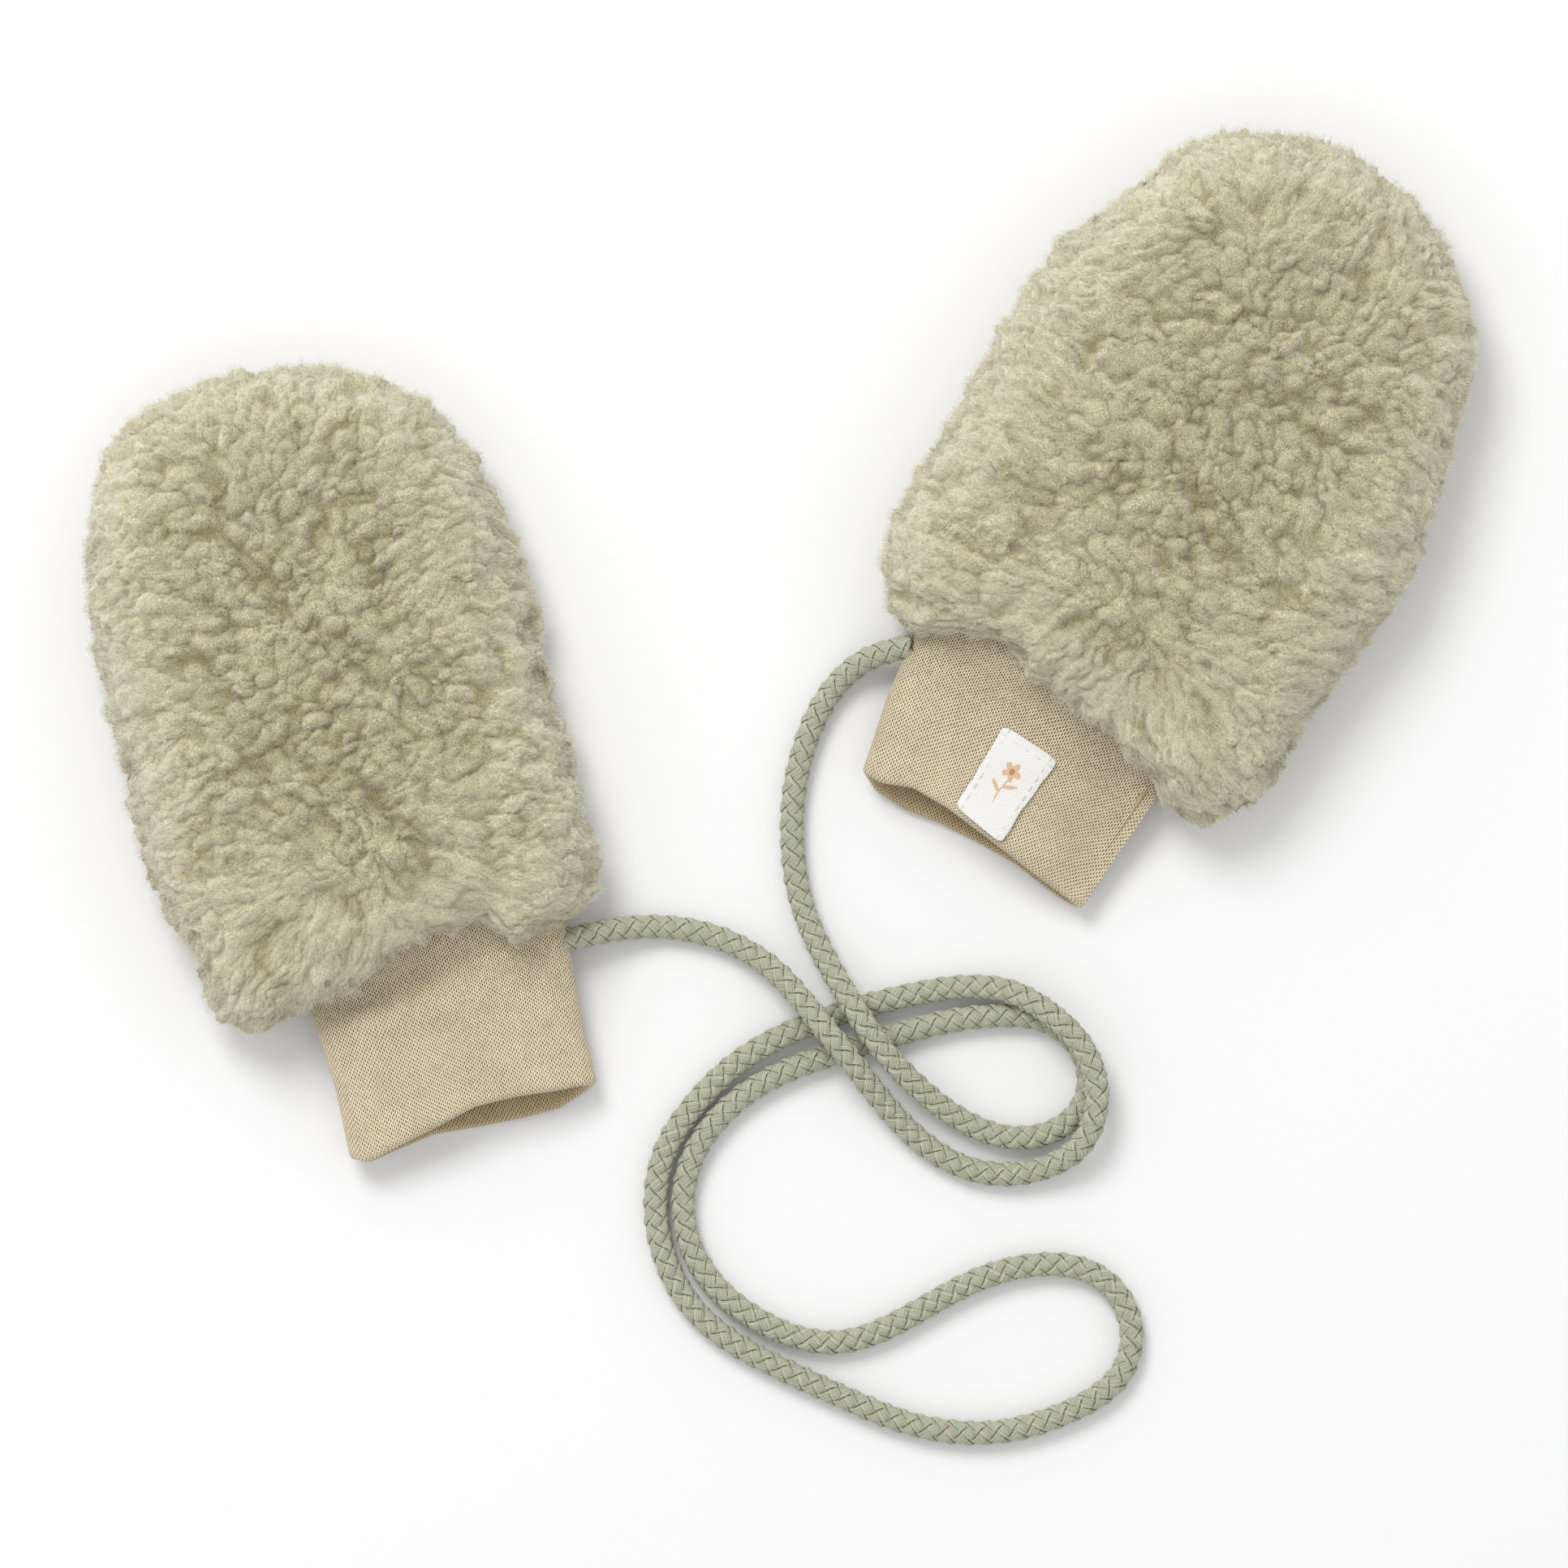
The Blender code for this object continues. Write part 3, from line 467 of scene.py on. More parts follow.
def knit_finish():
    """Fine knit: close columns of stitches with a small hole in each, half a row apart."""
    made, graph, shader = finish_graph("rib_knit", 0.9, 0.35)
    uv = graph.add("ShaderNodeUVMap", uv_map="UVMap")
    round_it, down, _ = graph.split(uv)
    drift = graph.add("ShaderNodeTexNoise", {"Vector": uv, "Scale": 0.05, "Detail": 0.0}).outputs[0]
    column = graph.plus(graph.maths("DIVIDE", round_it, WALE), graph.times(drift, 2.0))
    odd = graph.maths("MODULO", graph.maths("FLOOR", column), 2.0)
    row = graph.plus(graph.maths("DIVIDE", down, COURSE), graph.times(odd, 0.5))
    row = graph.plus(row, graph.times(drift, 3.0))
    across = graph.maths("SUBTRACT", graph.maths("FRACT", column), 0.5)
    along = graph.maths("SUBTRACT", graph.maths("FRACT", row), 0.5)
    far = graph.out(graph.vector("LENGTH", graph.joined(
        X=graph.maths("DIVIDE", across, HOLE[0]), Y=graph.maths("DIVIDE", along, HOLE[1]))),
        "Value")
    stitch = graph.add("ShaderNodeTexWhiteNoise", {"Vector": graph.joined(
        X=graph.maths("FLOOR", column), Y=graph.maths("FLOOR", row))}, noise_dimensions="2D")
    open_far = graph.times(
        graph.span(graph.out(stitch, "Value"), 0.0, 1.0, 1.0, 1.45, "LINEAR"),
        graph.span(down, 12.0, 30.0, 1.25, 1.0))
    hole = graph.span(far, open_far, 0.35)
    leg = graph.maths("ABSOLUTE", graph.plus(across, graph.times(along, 0.2)))
    fuzz = object_noise(graph, 2.5, detail=3.0, roughness=0.7)
    # Cloth seen edge-on turns greyer: a painted sheen at grazing angles.
    edge_on = graph.out(graph.add("ShaderNodeLayerWeight", {"Blend": 0.5}), "Facing")
    folded = graph.span(edge_on, 0.5, 0.95)
    cloth, hole_shade, edge_sheen = (0.675, 0.583, 0.408, 1), (0.10, 0.07, 0.035, 1), (0.53, 0.50, 0.39, 1)
    # The stitch holes are painted near black as shade.
    colour = graph.mixed(hole, cloth, hole_shade)
    colour = graph.mixed(graph.times(folded, 0.8), colour, edge_sheen)
    light = graph.times(graph.span(leg, 0.05, 0.45, 0.84, 1.1),
                        graph.span(fuzz, 0.3, 0.7, 0.86, 1.1))
    light = graph.times(light, graph.span(object_noise(graph, 0.15), 0.3, 0.7, 0.95, 1.05))
    # The layer folded inside is painted darker and browner as shade.
    inside = graph.mixed(graph.painted("inner_shade", "Fac"), (1, 1, 1, 1), (0.86, 0.79, 0.66, 1))
    colour = graph.vector("MULTIPLY", colour, inside)
    graph.feed(shader.inputs["Base Color"], graph.scaled(colour, light))
    bumped(graph, shader, graph.span(far, 0.3, 1.6), 0.15, 0.8)
    return made


def tape_finish():
    """White woven tape, with the motif's peach where the weave carries it."""
    made, graph, shader = finish_graph("label_tape", 0.6, 0.1)
    across, along, _ = graph.split(graph.add("ShaderNodeUVMap", uv_map="UVMap"))
    weave = graph.times(graph.maths("SINE", graph.times(along, math.tau / 0.46)),
                        graph.maths("SINE", graph.times(across, math.tau / 0.5)))
    white, peach, deep = (0.90, 0.89, 0.87, 1), (0.80, 0.53, 0.33, 1), (0.52, 0.27, 0.14, 1)
    colour = graph.mixed(graph.span(graph.painted("motif", "Fac"), 0.25, 0.5), white, peach)
    colour = graph.mixed(graph.span(graph.painted("motif", "Fac"), 0.7, 0.95), colour, deep)
    light = graph.span(weave, -1.0, 1.0, 0.84, 1.0)
    graph.feed(shader.inputs["Base Color"], graph.scaled(colour, light))
    bumped(graph, shader, weave, 0.12, 0.6)
    return made


def thread_finish(name, colour):
    made, graph, shader = finish_graph(name, 0.7, 0.15)
    light = graph.span(object_noise(graph, 6.0), 0.3, 0.7, 0.9, 1.08)
    graph.feed(shader.inputs["Base Color"], graph.scaled(colour, light))
    return made


def cord_finish():
    """Soft cotton: strands of fine yarns side by side; painted shade where a strand dips under."""
    made, graph, shader = finish_graph("cord_cotton", 0.85, 0.4)
    along, around, lift = graph.split(graph.painted("yarn"))
    slow = graph.add("ShaderNodeTexNoise", {"Vector": graph.joined(
        X=graph.times(along, 0.35), Y=around), "Scale": 1.0, "Detail": 1.0}).outputs[0]
    across = graph.plus(graph.times(around, STRAND_YARNS / 2.0), graph.times(slow, 1.6))
    ridge = graph.maths("ABSOLUTE", graph.maths("SINE", graph.times(across, math.pi)))
    number = graph.add("ShaderNodeTexWhiteNoise", {"W": graph.maths("FLOOR", across)},
                       noise_dimensions="1D")
    fluff = object_noise(graph, 4.0, detail=3.0, roughness=0.7)
    gap, lit, spot = (0.06, 0.065, 0.035, 1), (0.475, 0.495, 0.365, 1), (0.52, 0.28, 0.13, 1)
    # gap is painted shade: where a strand dips under another and along a strand's sides.
    shown = graph.times(graph.span(lift, -1.0, -0.2),
                        graph.span(graph.maths("ABSOLUTE", around), 1.0, 0.74))
    light = graph.times(graph.span(ridge, 0.05, 0.7, 0.7, 1.05),
                        graph.span(fluff, 0.3, 0.7, 0.88, 1.1))
    light = graph.times(light, graph.span(graph.out(number, "Value"), 0.0, 1.0, 0.9, 1.06))
    cotton = graph.scaled(graph.mixed(shown, gap, lit), light)
    fleck = graph.span(object_noise(graph, 0.55, detail=1.0), 0.74, 0.78)
    graph.feed(shader.inputs["Base Color"], graph.mixed(graph.times(fleck, 0.7), cotton, spot))
    bumped(graph, shader, ridge, 0.16, 0.9)
    return made


def floor_finish():
    made, graph, shader = finish_graph("studio_floor", 1.0, 0.0)
    shader.inputs["Base Color"].default_value = (0.80, 0.80, 0.805, 1)
    shader.inputs["Specular IOR Level"].default_value = 0.0
    return made


# --- cord -------------------------------------------------------------------------------

def braid_growth(material):
    """Strands that wind round a line both ways and pass over and under each other."""
    g = Growth("braid", {"Strands": "Int", "Pitch": "Float", "Step": "Float", "Ring": "Float",
                         "Lift": "Float", "Wide": "Float", "Thick": "Float", "Core": "Float",
                         "Sides": "Int"})
    line = g.add("GeometryNodeResampleCurve", {"Curve": g.size("Geometry"),
                                               "Length": g.size("Step")}, mode="LENGTH")
    line = g.store_vectors(line, out=g.add("GeometryNodeInputNormal"),
                           ahead=g.add("GeometryNodeInputTangent"))
    line = g.store(line, along=g.out(g.add("GeometryNodeSplineParameter"), "Length"))
    copies = g.add("GeometryNodeDuplicateElements",
                   {"Geometry": line, "Amount": g.size("Strands")}, domain="SPLINE")
    strands = g.store(copies, number=g.out(copies, "Duplicate Index"))
    number = g.named("number")
    hand = g.maths("SUBTRACT", 1.0, g.times(g.maths("MODULO", number, 2.0), 2.0))
    turns = g.maths("DIVIDE", g.named("along"), g.size("Pitch"))
    pairs = g.maths("DIVIDE", g.size("Strands"), 2.0)
    start = g.maths("DIVIDE", g.maths("FLOOR", g.maths("DIVIDE", number, 2.0)), pairs)
    angle = g.times(math.tau, g.plus(g.times(hand, turns), start))
    wave = g.times(hand, g.maths("COSINE", g.times(turns, g.times(pairs, math.tau))))
    radius = g.plus(g.size("Ring"), g.times(wave, g.size("Lift")))
    out = g.named_vector("out")
    side = g.vector("CROSS_PRODUCT", g.named_vector("ahead"), out)
    strands = g.store_vectors(strands, ray=g.moved(g.scaled(out, g.maths("COSINE", angle)),
                                                   g.scaled(side, g.maths("SINE", angle))))
    strands = g.store(strands, wave=wave)
    ray = g.named_vector("ray")
    strands = g.add("GeometryNodeSetPosition", {"Geometry": strands,
                                                "Offset": g.scaled(ray, radius)})
    strands = g.add("GeometryNodeSetCurveNormal", {"Curve": strands, "Normal": ray}, mode="FREE")
    ring = g.add("GeometryNodeCurvePrimitiveCircle", {"Resolution": g.size("Sides"),
                                                      "Radius": 1.0}, mode="RADIUS")
    turned = g.add("GeometryNodeTransform", {"Geometry": ring, "Rotation": (
        0.0, 0.0, math.pi / STRAND_SIDES)})
    corner = g.split(g.add("GeometryNodeInputPosition"))
    up, round_it = [g.times(g.maths("SIGN", axis),
                            g.maths("POWER", g.maths("ABSOLUTE", axis), STRAND_SQUARE))
                    for axis in corner[:2]]
    turned = g.store(turned, around=round_it)
    wide = g.times(g.named("around"), g.times(g.size("Wide"), 0.5))
    thick = g.times(up, g.times(g.size("Thick"), 0.5))
    sag = g.maths("DIVIDE", g.times(wide, wide), g.times(g.size("Ring"), 3.4))
    oval = g.add("GeometryNodeSetPosition", {"Geometry": turned, "Position": g.joined(
        X=g.maths("SUBTRACT", thick, sag), Y=wide)})
    tubes = g.add("GeometryNodeCurveToMesh", {"Curve": strands, "Profile Curve": oval,
                                              "Fill Caps": True})
    core_ring = g.add("GeometryNodeCurvePrimitiveCircle",
                      {"Resolution": 8, "Radius": g.size("Core")}, mode="RADIUS")
    sparse = g.add("GeometryNodeResampleCurve",
                   {"Curve": line, "Length": g.times(g.size("Step"), 6.0)}, mode="LENGTH")
    # The core is marked as wholly dipped under, so it takes the gap's painted shade.
    core = g.add("GeometryNodeCurveToMesh", {"Curve": g.store(sparse, wave=-1.0),
                                             "Profile Curve": core_ring, "Fill Caps": True})
    both = g.add("GeometryNodeJoinGeometry")
    g.tree.links.new(core.outputs[0], both.inputs[0])
    g.tree.links.new(tubes.outputs[0], both.inputs[0])
    mark = g.joined(X=g.maths("DIVIDE", g.named("along"), MM), Y=g.named("around"),
                    Z=g.named("wave"))
    g.finish(g.store_vectors(both, yarn=mark), material)
    return g


def braided_cord():
    route = smooth_line(CORD_ROUTE, 1.0)
    route[:, 2] = np.maximum(route[:, 2], CORD_D / 2)
    curve = bpy.data.curves.new("cord_line", "CURVE")
    curve.dimensions = "3D"
    line = curve.splines.new("POLY")
    start, end = route[0] - route[1], route[-1] - route[-2]
    drawn = np.concatenate([[route[0] + start * SEWN_IN], route, [route[-1] + end * SEWN_IN]])
    line.points.add(len(drawn) - 1)
    for knot, place in zip(line.points, drawn):
        knot.co = (*(place * MM), 1.0)
    guide = new_object("cord_line", curve)
    sizes = {"Strands": STRANDS, "Pitch": BRAID_PITCH * MM, "Step": BRAID_STEP * MM,
             "Ring": STRAND_RING * MM, "Lift": STRAND_LIFT * MM, "Wide": STRAND_WIDE * MM,
             "Thick": STRAND_THICK * MM, "Core": CORE_RADIUS * MM, "Sides": STRAND_SIDES}
    cord = grow("cord_braid", guide, braid_growth(cord_finish()), sizes,
                drop=("out", "ahead", "along", "number", "ray", "wave", "around"))
    bpy.data.objects.remove(guide)
    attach(cord, "root")
    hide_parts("cord")


# --- pile panels ------------------------------------------------------------------------

def even_shell(node, voxel):
    """A CAD node's shape as one closed mesh of even small faces."""
    shell = bmesh.new()
    shell.from_mesh(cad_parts[node].data)
    bmesh.ops.remove_doubles(shell, verts=shell.verts, dist=0.02 * MM)
    mesh = bpy.data.meshes.new(node)
    shell.to_mesh(mesh)
    shell.free()
    rough = new_object(node, mesh)
    even = rough.modifiers.new("even", "REMESH")
    even.mode, even.voxel_size = "VOXEL", voxel * MM
    bpy.context.view_layer.update()
    made = bpy.data.meshes.new_from_object(
        rough.evaluated_get(bpy.context.evaluated_depsgraph_get()))
    bpy.data.objects.remove(rough)
    return made


def halve_faces(mesh, shown):
    """Splits each face with a point that shows into four."""
    shell = bmesh.new()
    shell.from_mesh(mesh)
    edges = [edge for edge in shell.edges
             if any(shown[v.index] for face in edge.link_faces for v in face.verts)]
    bmesh.ops.subdivide_edges(shell, edges=edges, cuts=1, use_grid_fill=True, smooth=0.6)
    bmesh.ops.triangulate(shell, faces=[f for f in shell.faces if len(f.verts) > 4])
    shell.to_mesh(mesh)
    shell.free()


def mesh_points(mesh):
    """The places of a mesh's points in millimetres, and the way out of it at each."""
    points, normals = np.zeros((2, len(mesh.vertices), 3))
    mesh.vertices.foreach_get("co", points.ravel())
    mesh.vertex_normals.foreach_get("vector", normals.ravel())
    return points / MM, normals


def wander(points, pitch, seed):
    """Smooth random vectors, each part from about -1 to 1, that change over `pitch`."""
    shift = Vector((3.1 * seed, 1.7 * seed, 0.0))
    return np.array([noise.noise_vector(Vector(p) / pitch + shift) for p in points])


def own_frame(mitten, points):
    """Where points on the table lie in the mitten's frame, u and v."""
    turn = math.radians(mitten["turn"])
    x, y = points[:, 0] - mitten["at"][0], points[:, 1] - mitten["at"][1]
    return x * math.cos(turn) + y * math.sin(turn), -x * math.sin(turn) + y * math.cos(turn)


def brushed(mitten, points):
    """The way the pile lies at each point, how near the rim that is, from 0 to 1, and its sweep.

    The sweep is the point's place as the pile is brushed: out from the spine, along the rim, up.
    """
    u, v = own_frame(mitten, points)
    turn = math.radians(mitten["turn"])
    away_u, away_v = u - mitten["spine_u"], v - np.clip(v, *SPINE)
    away = np.hypot(away_u, away_v)
    rim = smooth_step(away / SPINE_REACH, 0.25, 1.0)
    # Near the hem the pile is brushed down as at the rim, and gets the rim's painted light too.
    rim = np.maximum(rim, 0.9 * smooth_step(-v, -58.0, -10.0) * smooth_step(away, 2.0, 18.0))
    swirl = wander(points, 17.0, mitten["seed"])
    angle = np.arctan2(away_v, away_u) + turn + 2.2 * swirl[:, 0] * (1.0 - 0.85 * rim)
    way = np.stack([np.cos(angle), np.sin(angle), 0.0 * angle], axis=1)
    fan = smooth_step(away, 4.0, 24.0)
    round_end = np.clip(v, *SPINE) + 0.8 * SPINE_REACH * np.arctan2(away_v, np.abs(away_u))
    sweep = np.stack([np.hypot(away_u, away_v * fan), v + (round_end - v) * fan, points[:, 2]],
                     axis=1)
    return way, rim, sweep


def oval_gap(apart, ways, stretch, sizes):
    """How far off a point is in an oval puff's own measure, squared: 1 is its full spacing."""
    along = (apart * ways).sum(-1)
    across = np.maximum((apart ** 2).sum(-1) - along ** 2, 0.0)
    return (across + (along / stretch) ** 2) * stretch / sizes ** 2


def scattered(points, ways, stretch, sizes, seed):
    """Numbers of points picked at random so that each puff keeps clear of the rest."""
    picked = []
    for i in np.random.default_rng(seed).permutation(len(points)):
        apart = points[picked] - points[i]
        if (oval_gap(apart, ways[i], stretch[i], sizes[i]) > 1.0).all():
            picked.append(i)
    return np.array(picked)


def crowded(points, ways, rim, lying, kind, seed):
    """Height, crease and number of the puff that stands highest over each point.

    Puffs are longest where the pile lies along the cloth and round where it stands out.
    """
    random = np.random.default_rng(seed)
    sizes = np.interp(rim, (0, 1), kind["spacing"])
    sizes *= 1.0 + PUFF_SPREAD * wander(points, 2.0 * kind["spacing"][0], seed + 5)[:, 1]
    stretch = 1.0 + (np.interp(rim, (0, 1), kind["stretch"]) - 1.0) * lying
    crowns = scattered(points, ways, stretch, sizes, seed)
    tops = kind["steps"] * (random.random(len(crowns)) - 0.5)
    warped = points + BORDER_WARP * wander(points, 4.0, seed + 1)
    warped += 0.35 * BORDER_WARP * wander(points, 1.8, seed + 2)
    tree = kdtree.KDTree(len(crowns))
    for i, crown in enumerate(crowns):
        tree.insert(points[crown], i)
    tree.balance()
    near = np.array([[found[1] for found in tree.find_n(point, NEAR_PUFFS)] for point in warped])
    at = crowns[near]
    gap = oval_gap(warped[:, None] - points[at], ways[at], stretch[at], sizes[at])
    high = tops[near] - kind["drop"] * gap
    rows, best = np.arange(len(points)), high.argmax(axis=1)
    owner, top = near[rows, best], high[rows, best]
    together = top + VALLEY * np.log(np.exp((high - top[:, None]) / VALLEY).sum(axis=1))
    high[rows, best] = -99.0
    uneven = smooth_step(wander(points, 1.2 * kind["spacing"][0], seed + 6)[:, 2], -0.25, 0.3)
    crease = np.exp((high.max(axis=1) - top) / CREASE_WIDE) * (0.15 + 0.85 * uneven)
    return np.maximum(together, -1.5), crease, crowns[owner]


def open_air(mitten, mesh, points, normals):
    """How openly each point lies, from 1 down to 0 where the mitten's other cloth faces it."""
    trees = []
    for part in ("top_panel", "bottom_panel", "cuff"):
        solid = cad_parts[f"{mitten['name']}_{part}"].data
        trees.append(bvhtree.BVHTree.FromPolygons(
            [vertex.co for vertex in solid.vertices], [list(f.vertices) for f in solid.polygons]))
    air = np.ones(len(points))
    for i, (point, normal) in enumerate(zip(points, normals)):
        start, way = Vector(point + EYE * normal) * MM, Vector(normal)
        if any(tree.ray_cast(start, way, SIGHT * MM)[0] for tree in trees):
            air[i] = 0.0
    ends = np.zeros((len(mesh.edges), 2), dtype=np.int64)
    mesh.edges.foreach_get("vertices", ends.ravel())
    for _ in range(2):
        total, count = air.copy(), np.ones(len(points))
        for here, there in (ends.T, ends.T[::-1]):
            np.add.at(total, here, air[there])
            np.add.at(count, here, 1.0)
        air = total / count
    return air


def drawn_along(points, normals, moved, weight):
    """Moves the hidden points close to the pile's face along with it, and a little further in."""
    face = kdtree.KDTree(len(points))
    for i in np.flatnonzero(weight > SHOWN):
        face.insert(points[i], i)
    face.balance()
    for i in np.flatnonzero(weight <= SHOWN):
        _, k, far = face.find(points[i])
        if far < LIP:
            along = moved[k] - points[k] - LIP_TUCK * normals[k]
            moved[i] = points[i] + along * (1.0 - far / LIP)
    return moved


def pile_body(mitten, word):
    """The panel's form as packed pile: rounded puffs that crowd and overlap each other.

    At its points it keeps what fibres and finish go by: "lean", the way fibres fall, "drawn",
    the way to the middle of their puff, "grows", how thickly they stand, "shade", which holds
    depth, tone and nearness to the rim, and "sweep".  Depth sets the painted shade of the
    creases, and nearness to the rim the painted light there.
    """
    side = 1.0 if word == "top" else -1.0
    seed = mitten["seed"]
    node = f"{mitten['name']}_{word}_panel"
    mesh = even_shell(node, PILE_VOXEL[word])
    halve_faces(mesh, open_air(mitten, mesh, *mesh_points(mesh)) > 0.3)
    points, normals = mesh_points(mesh)
    way, rim, sweep = brushed(mitten, points)
    weight = smooth_step(open_air(mitten, mesh, points, normals), 0.2, 0.9)
    pressed = smooth_step(-normals[:, 2], 0.55, 0.95) * (side < 0)
    outer = np.flatnonzero(weight > 0.01)
    spots, out, edge = points[outer], normals[outer], rim[outer]
    lean = way[outer] - out * (way[outer] * out).sum(1)[:, None]
    lying = np.linalg.norm(lean, axis=1)
    lean /= np.maximum(lying, 1e-6)[:, None]
    puff, crease, owner = crowded(spots, lean, edge, lying, PUFFS, seed)
    lock, parting, _ = crowded(spots, lean, edge, lying, LOCKS, seed + 50)
    upright = 1.0 - smooth_step(np.abs(normals[:, 2]), 0.1, 0.6)
    side_on = upright[outer]
    soft = 1.0 - 0.35 * edge + 0.6 * edge * side_on
    swell = np.interp(edge, (0, 1), SWELL["height"])
    swell *= wander(spots, SWELL["pitch"], seed + 4)[:, 0]
    billow = BILLOW["height"] * (0.3 - np.abs(wander(spots, BILLOW["pitch"], seed + 3)[:, 0]))
    height = (puff + lock + billow - PUFFS["crease"] * crease
              - LOCKS["crease"] * parting) * soft + swell
    height -= FUZZ_ROOM * (1.0 - 0.8 * side_on)
    height *= weight[outer] * (1.0 - 0.85 * pressed[outer])
    moved = points.copy()
    moved[outer] += out * height[:, None]
    moved = drawn_along(points, normals, moved, weight)
    mesh.vertices.foreach_set("co", (moved * MM).ravel())

    depth, tone = np.full((2, len(points)), 0.6)
    # Depth is painted shade: low in the creases and between puffs, and kept middling on sides that
    # face outwards as painted light.
    depth[outer] = 1.0 + ((puff + lock) / 3.4 - 0.4 * crease - 0.5 * parting) * (1.0 - 0.4 * edge)
    depth[outer] = np.maximum(depth[outer], 0.55 * side_on)
    tone[outer] = np.random.default_rng(seed).random(len(spots))[owner]
    drawn = np.zeros_like(points)
    drawn[outer] = spots[owner] - moved[outer]
    drawn -= normals * (drawn * normals).sum(1)[:, None]
    up = own_frame(mitten, points)[1]
    tufts = smooth_step(-up, -9.0, -2.0) * smooth_step(wander(points, 5.0, seed + 8)[:, 1],
                                                       -0.1, 0.3)
    fall = way * (0.35 + rim * 1.4 + 0.5 * tufts)[:, None]
    fall[:, 2] -= side * 0.45 * rim
    fall -= normals * ((fall * normals).sum(1) * (0.9 - 0.4 * upright))[:, None]
    drawn *= (1.0 + upright)[:, None]
    for name, kind, values in (
            ("lean", "FLOAT_VECTOR", fall * MM), ("drawn", "FLOAT_VECTOR", drawn * MM),
            ("shade", "FLOAT_VECTOR", np.stack([np.clip(depth, 0, 1), tone, rim], axis=1)),
            ("sweep", "FLOAT_VECTOR", sweep),
            ("grows", "FLOAT", (weight > SHOWN) * (1.0 - 0.7 * pressed)
             * (0.75 + 1.5 * (np.abs(normals[:, 2]) < 0.45)))):
        layer = mesh.attributes.new(name, kind, "POINT")
        layer.data.foreach_set("vector" if kind == "FLOAT_VECTOR" else "value",
                               np.asarray(values, dtype=np.float32).ravel())
    mesh.shade_smooth()
    return new_object(f"{node}_pile", mesh)


def fuzz_growth(material):
    """Fine curled fibres on the pile's clumps, brushed the way that the pile lies."""
    g = Growth("fuzz", {"Fibres": "Float", "Length": "Float", "Width": "Float",
                        "Curl": "Float", "Lean": "Float", "Draw": "Float", "Floor": "Float",
                        "Seed": "Int"})
    place = g.add("GeometryNodeInputPosition")
    spots = g.add("GeometryNodeDistributePointsOnFaces",
                  {"Mesh": g.size("Geometry"), "Density": g.times(
                      g.size("Fibres"), g.named("grows")), "Seed": g.size("Seed")},
                  distribute_method="RANDOM")
    out = g.out(spots, "Normal")
    depth, tone, rim = g.split(g.named_vector("shade"))
    length = g.times(g.size("Length"), g.random(0.55, 1.25, 1))
    curl = [g.scaled(g.random((-1.0,) * 3, (1.0,) * 3, seed, "FLOAT_VECTOR"),
                     g.times(g.size("Curl"), g.maths("SUBTRACT", 1.0, g.times(0.45, rim))))
            for seed in (2, 3)]
    rise = g.scaled(out, length)
    brushed_way = g.moved(g.scaled(g.named_vector("lean"), g.size("Lean")),
                          g.scaled(g.named_vector("drawn"), g.size("Draw")))
    half = g.moved(g.moved(g.scaled(rise, 0.5), g.scaled(brushed_way, 0.3)), curl[0])
    whole = g.moved(g.moved(g.scaled(rise, 0.6), brushed_way), curl[1])
    root = g.vector("SUBTRACT", place, g.scaled(out, g.times(length, 0.15)))
    spots = g.store_vectors(spots, root=root, middle=g.moved(place, half),
                            tip=g.moved(place, whole))
    across = g.vector("NORMALIZE", g.vector("CROSS_PRODUCT", whole, out))
    over = g.vector("NORMALIZE", g.vector("CROSS_PRODUCT", across, whole))
    spots = g.store_vectors(spots, across=across, over=over)
    spots = g.store(spots, width=g.times(g.size("Width"), g.random(0.7, 1.3, 4)),
                    tint=g.random(0.0, 1.0, 5))

    fibre = g.add("GeometryNodeMeshUVSphere", {"Segments": 3, "Rings": 2, "Radius": 1.0})
    fibre = g.add("GeometryNodeTransform", {"Geometry": fibre,
                                            "Rotation": (0.0, 0.0, math.pi / 2)})
    fibres = g.add("GeometryNodeInstanceOnPoints",
                   {"Points": spots, "Instance": g.store_vectors(fibre, unit=place)})
    fibres = g.add("GeometryNodeRealizeInstances", {"Geometry": fibres})

    x, y, along = g.split(g.named_vector("unit"))
    near = g.maths("MAXIMUM", g.times(along, -1.0), 0.0)
    far = g.maths("MAXIMUM", along, 0.0)
    between = g.maths("SUBTRACT", 1.0, g.maths("ABSOLUTE", along))
    line = g.moved(g.scaled(g.named_vector("root"), near), g.scaled(g.named_vector("tip"), far))
    line = g.moved(line, g.scaled(g.named_vector("middle"), between))
    width = g.named("width")
    ring = g.moved(g.scaled(g.named_vector("across"), g.times(x, width)),
                   g.scaled(g.named_vector("over"), g.times(y, g.times(width, 0.5))))
    clear = g.joined(X=-10.0, Y=-10.0, Z=g.size("Floor"))
    fibres = g.add("GeometryNodeSetPosition", {"Geometry": fibres, "Position": g.vector(
        "MAXIMUM", g.moved(line, ring), clear)})
    to_tip = g.maths("MULTIPLY_ADD", along, 0.5, 0.5)
    # Each fibre takes its root's painted crease shade and grows paler towards its tip.
    mark = g.joined(X=g.mixed(g.times(to_tip, 0.75), depth, 1.0, "FLOAT"),
                    Y=g.mixed(0.6, tone, g.named("tint"), "FLOAT"), Z=rim)
    g.finish(g.store_vectors(fibres, shade=mark), material, smooth=False)
    return g


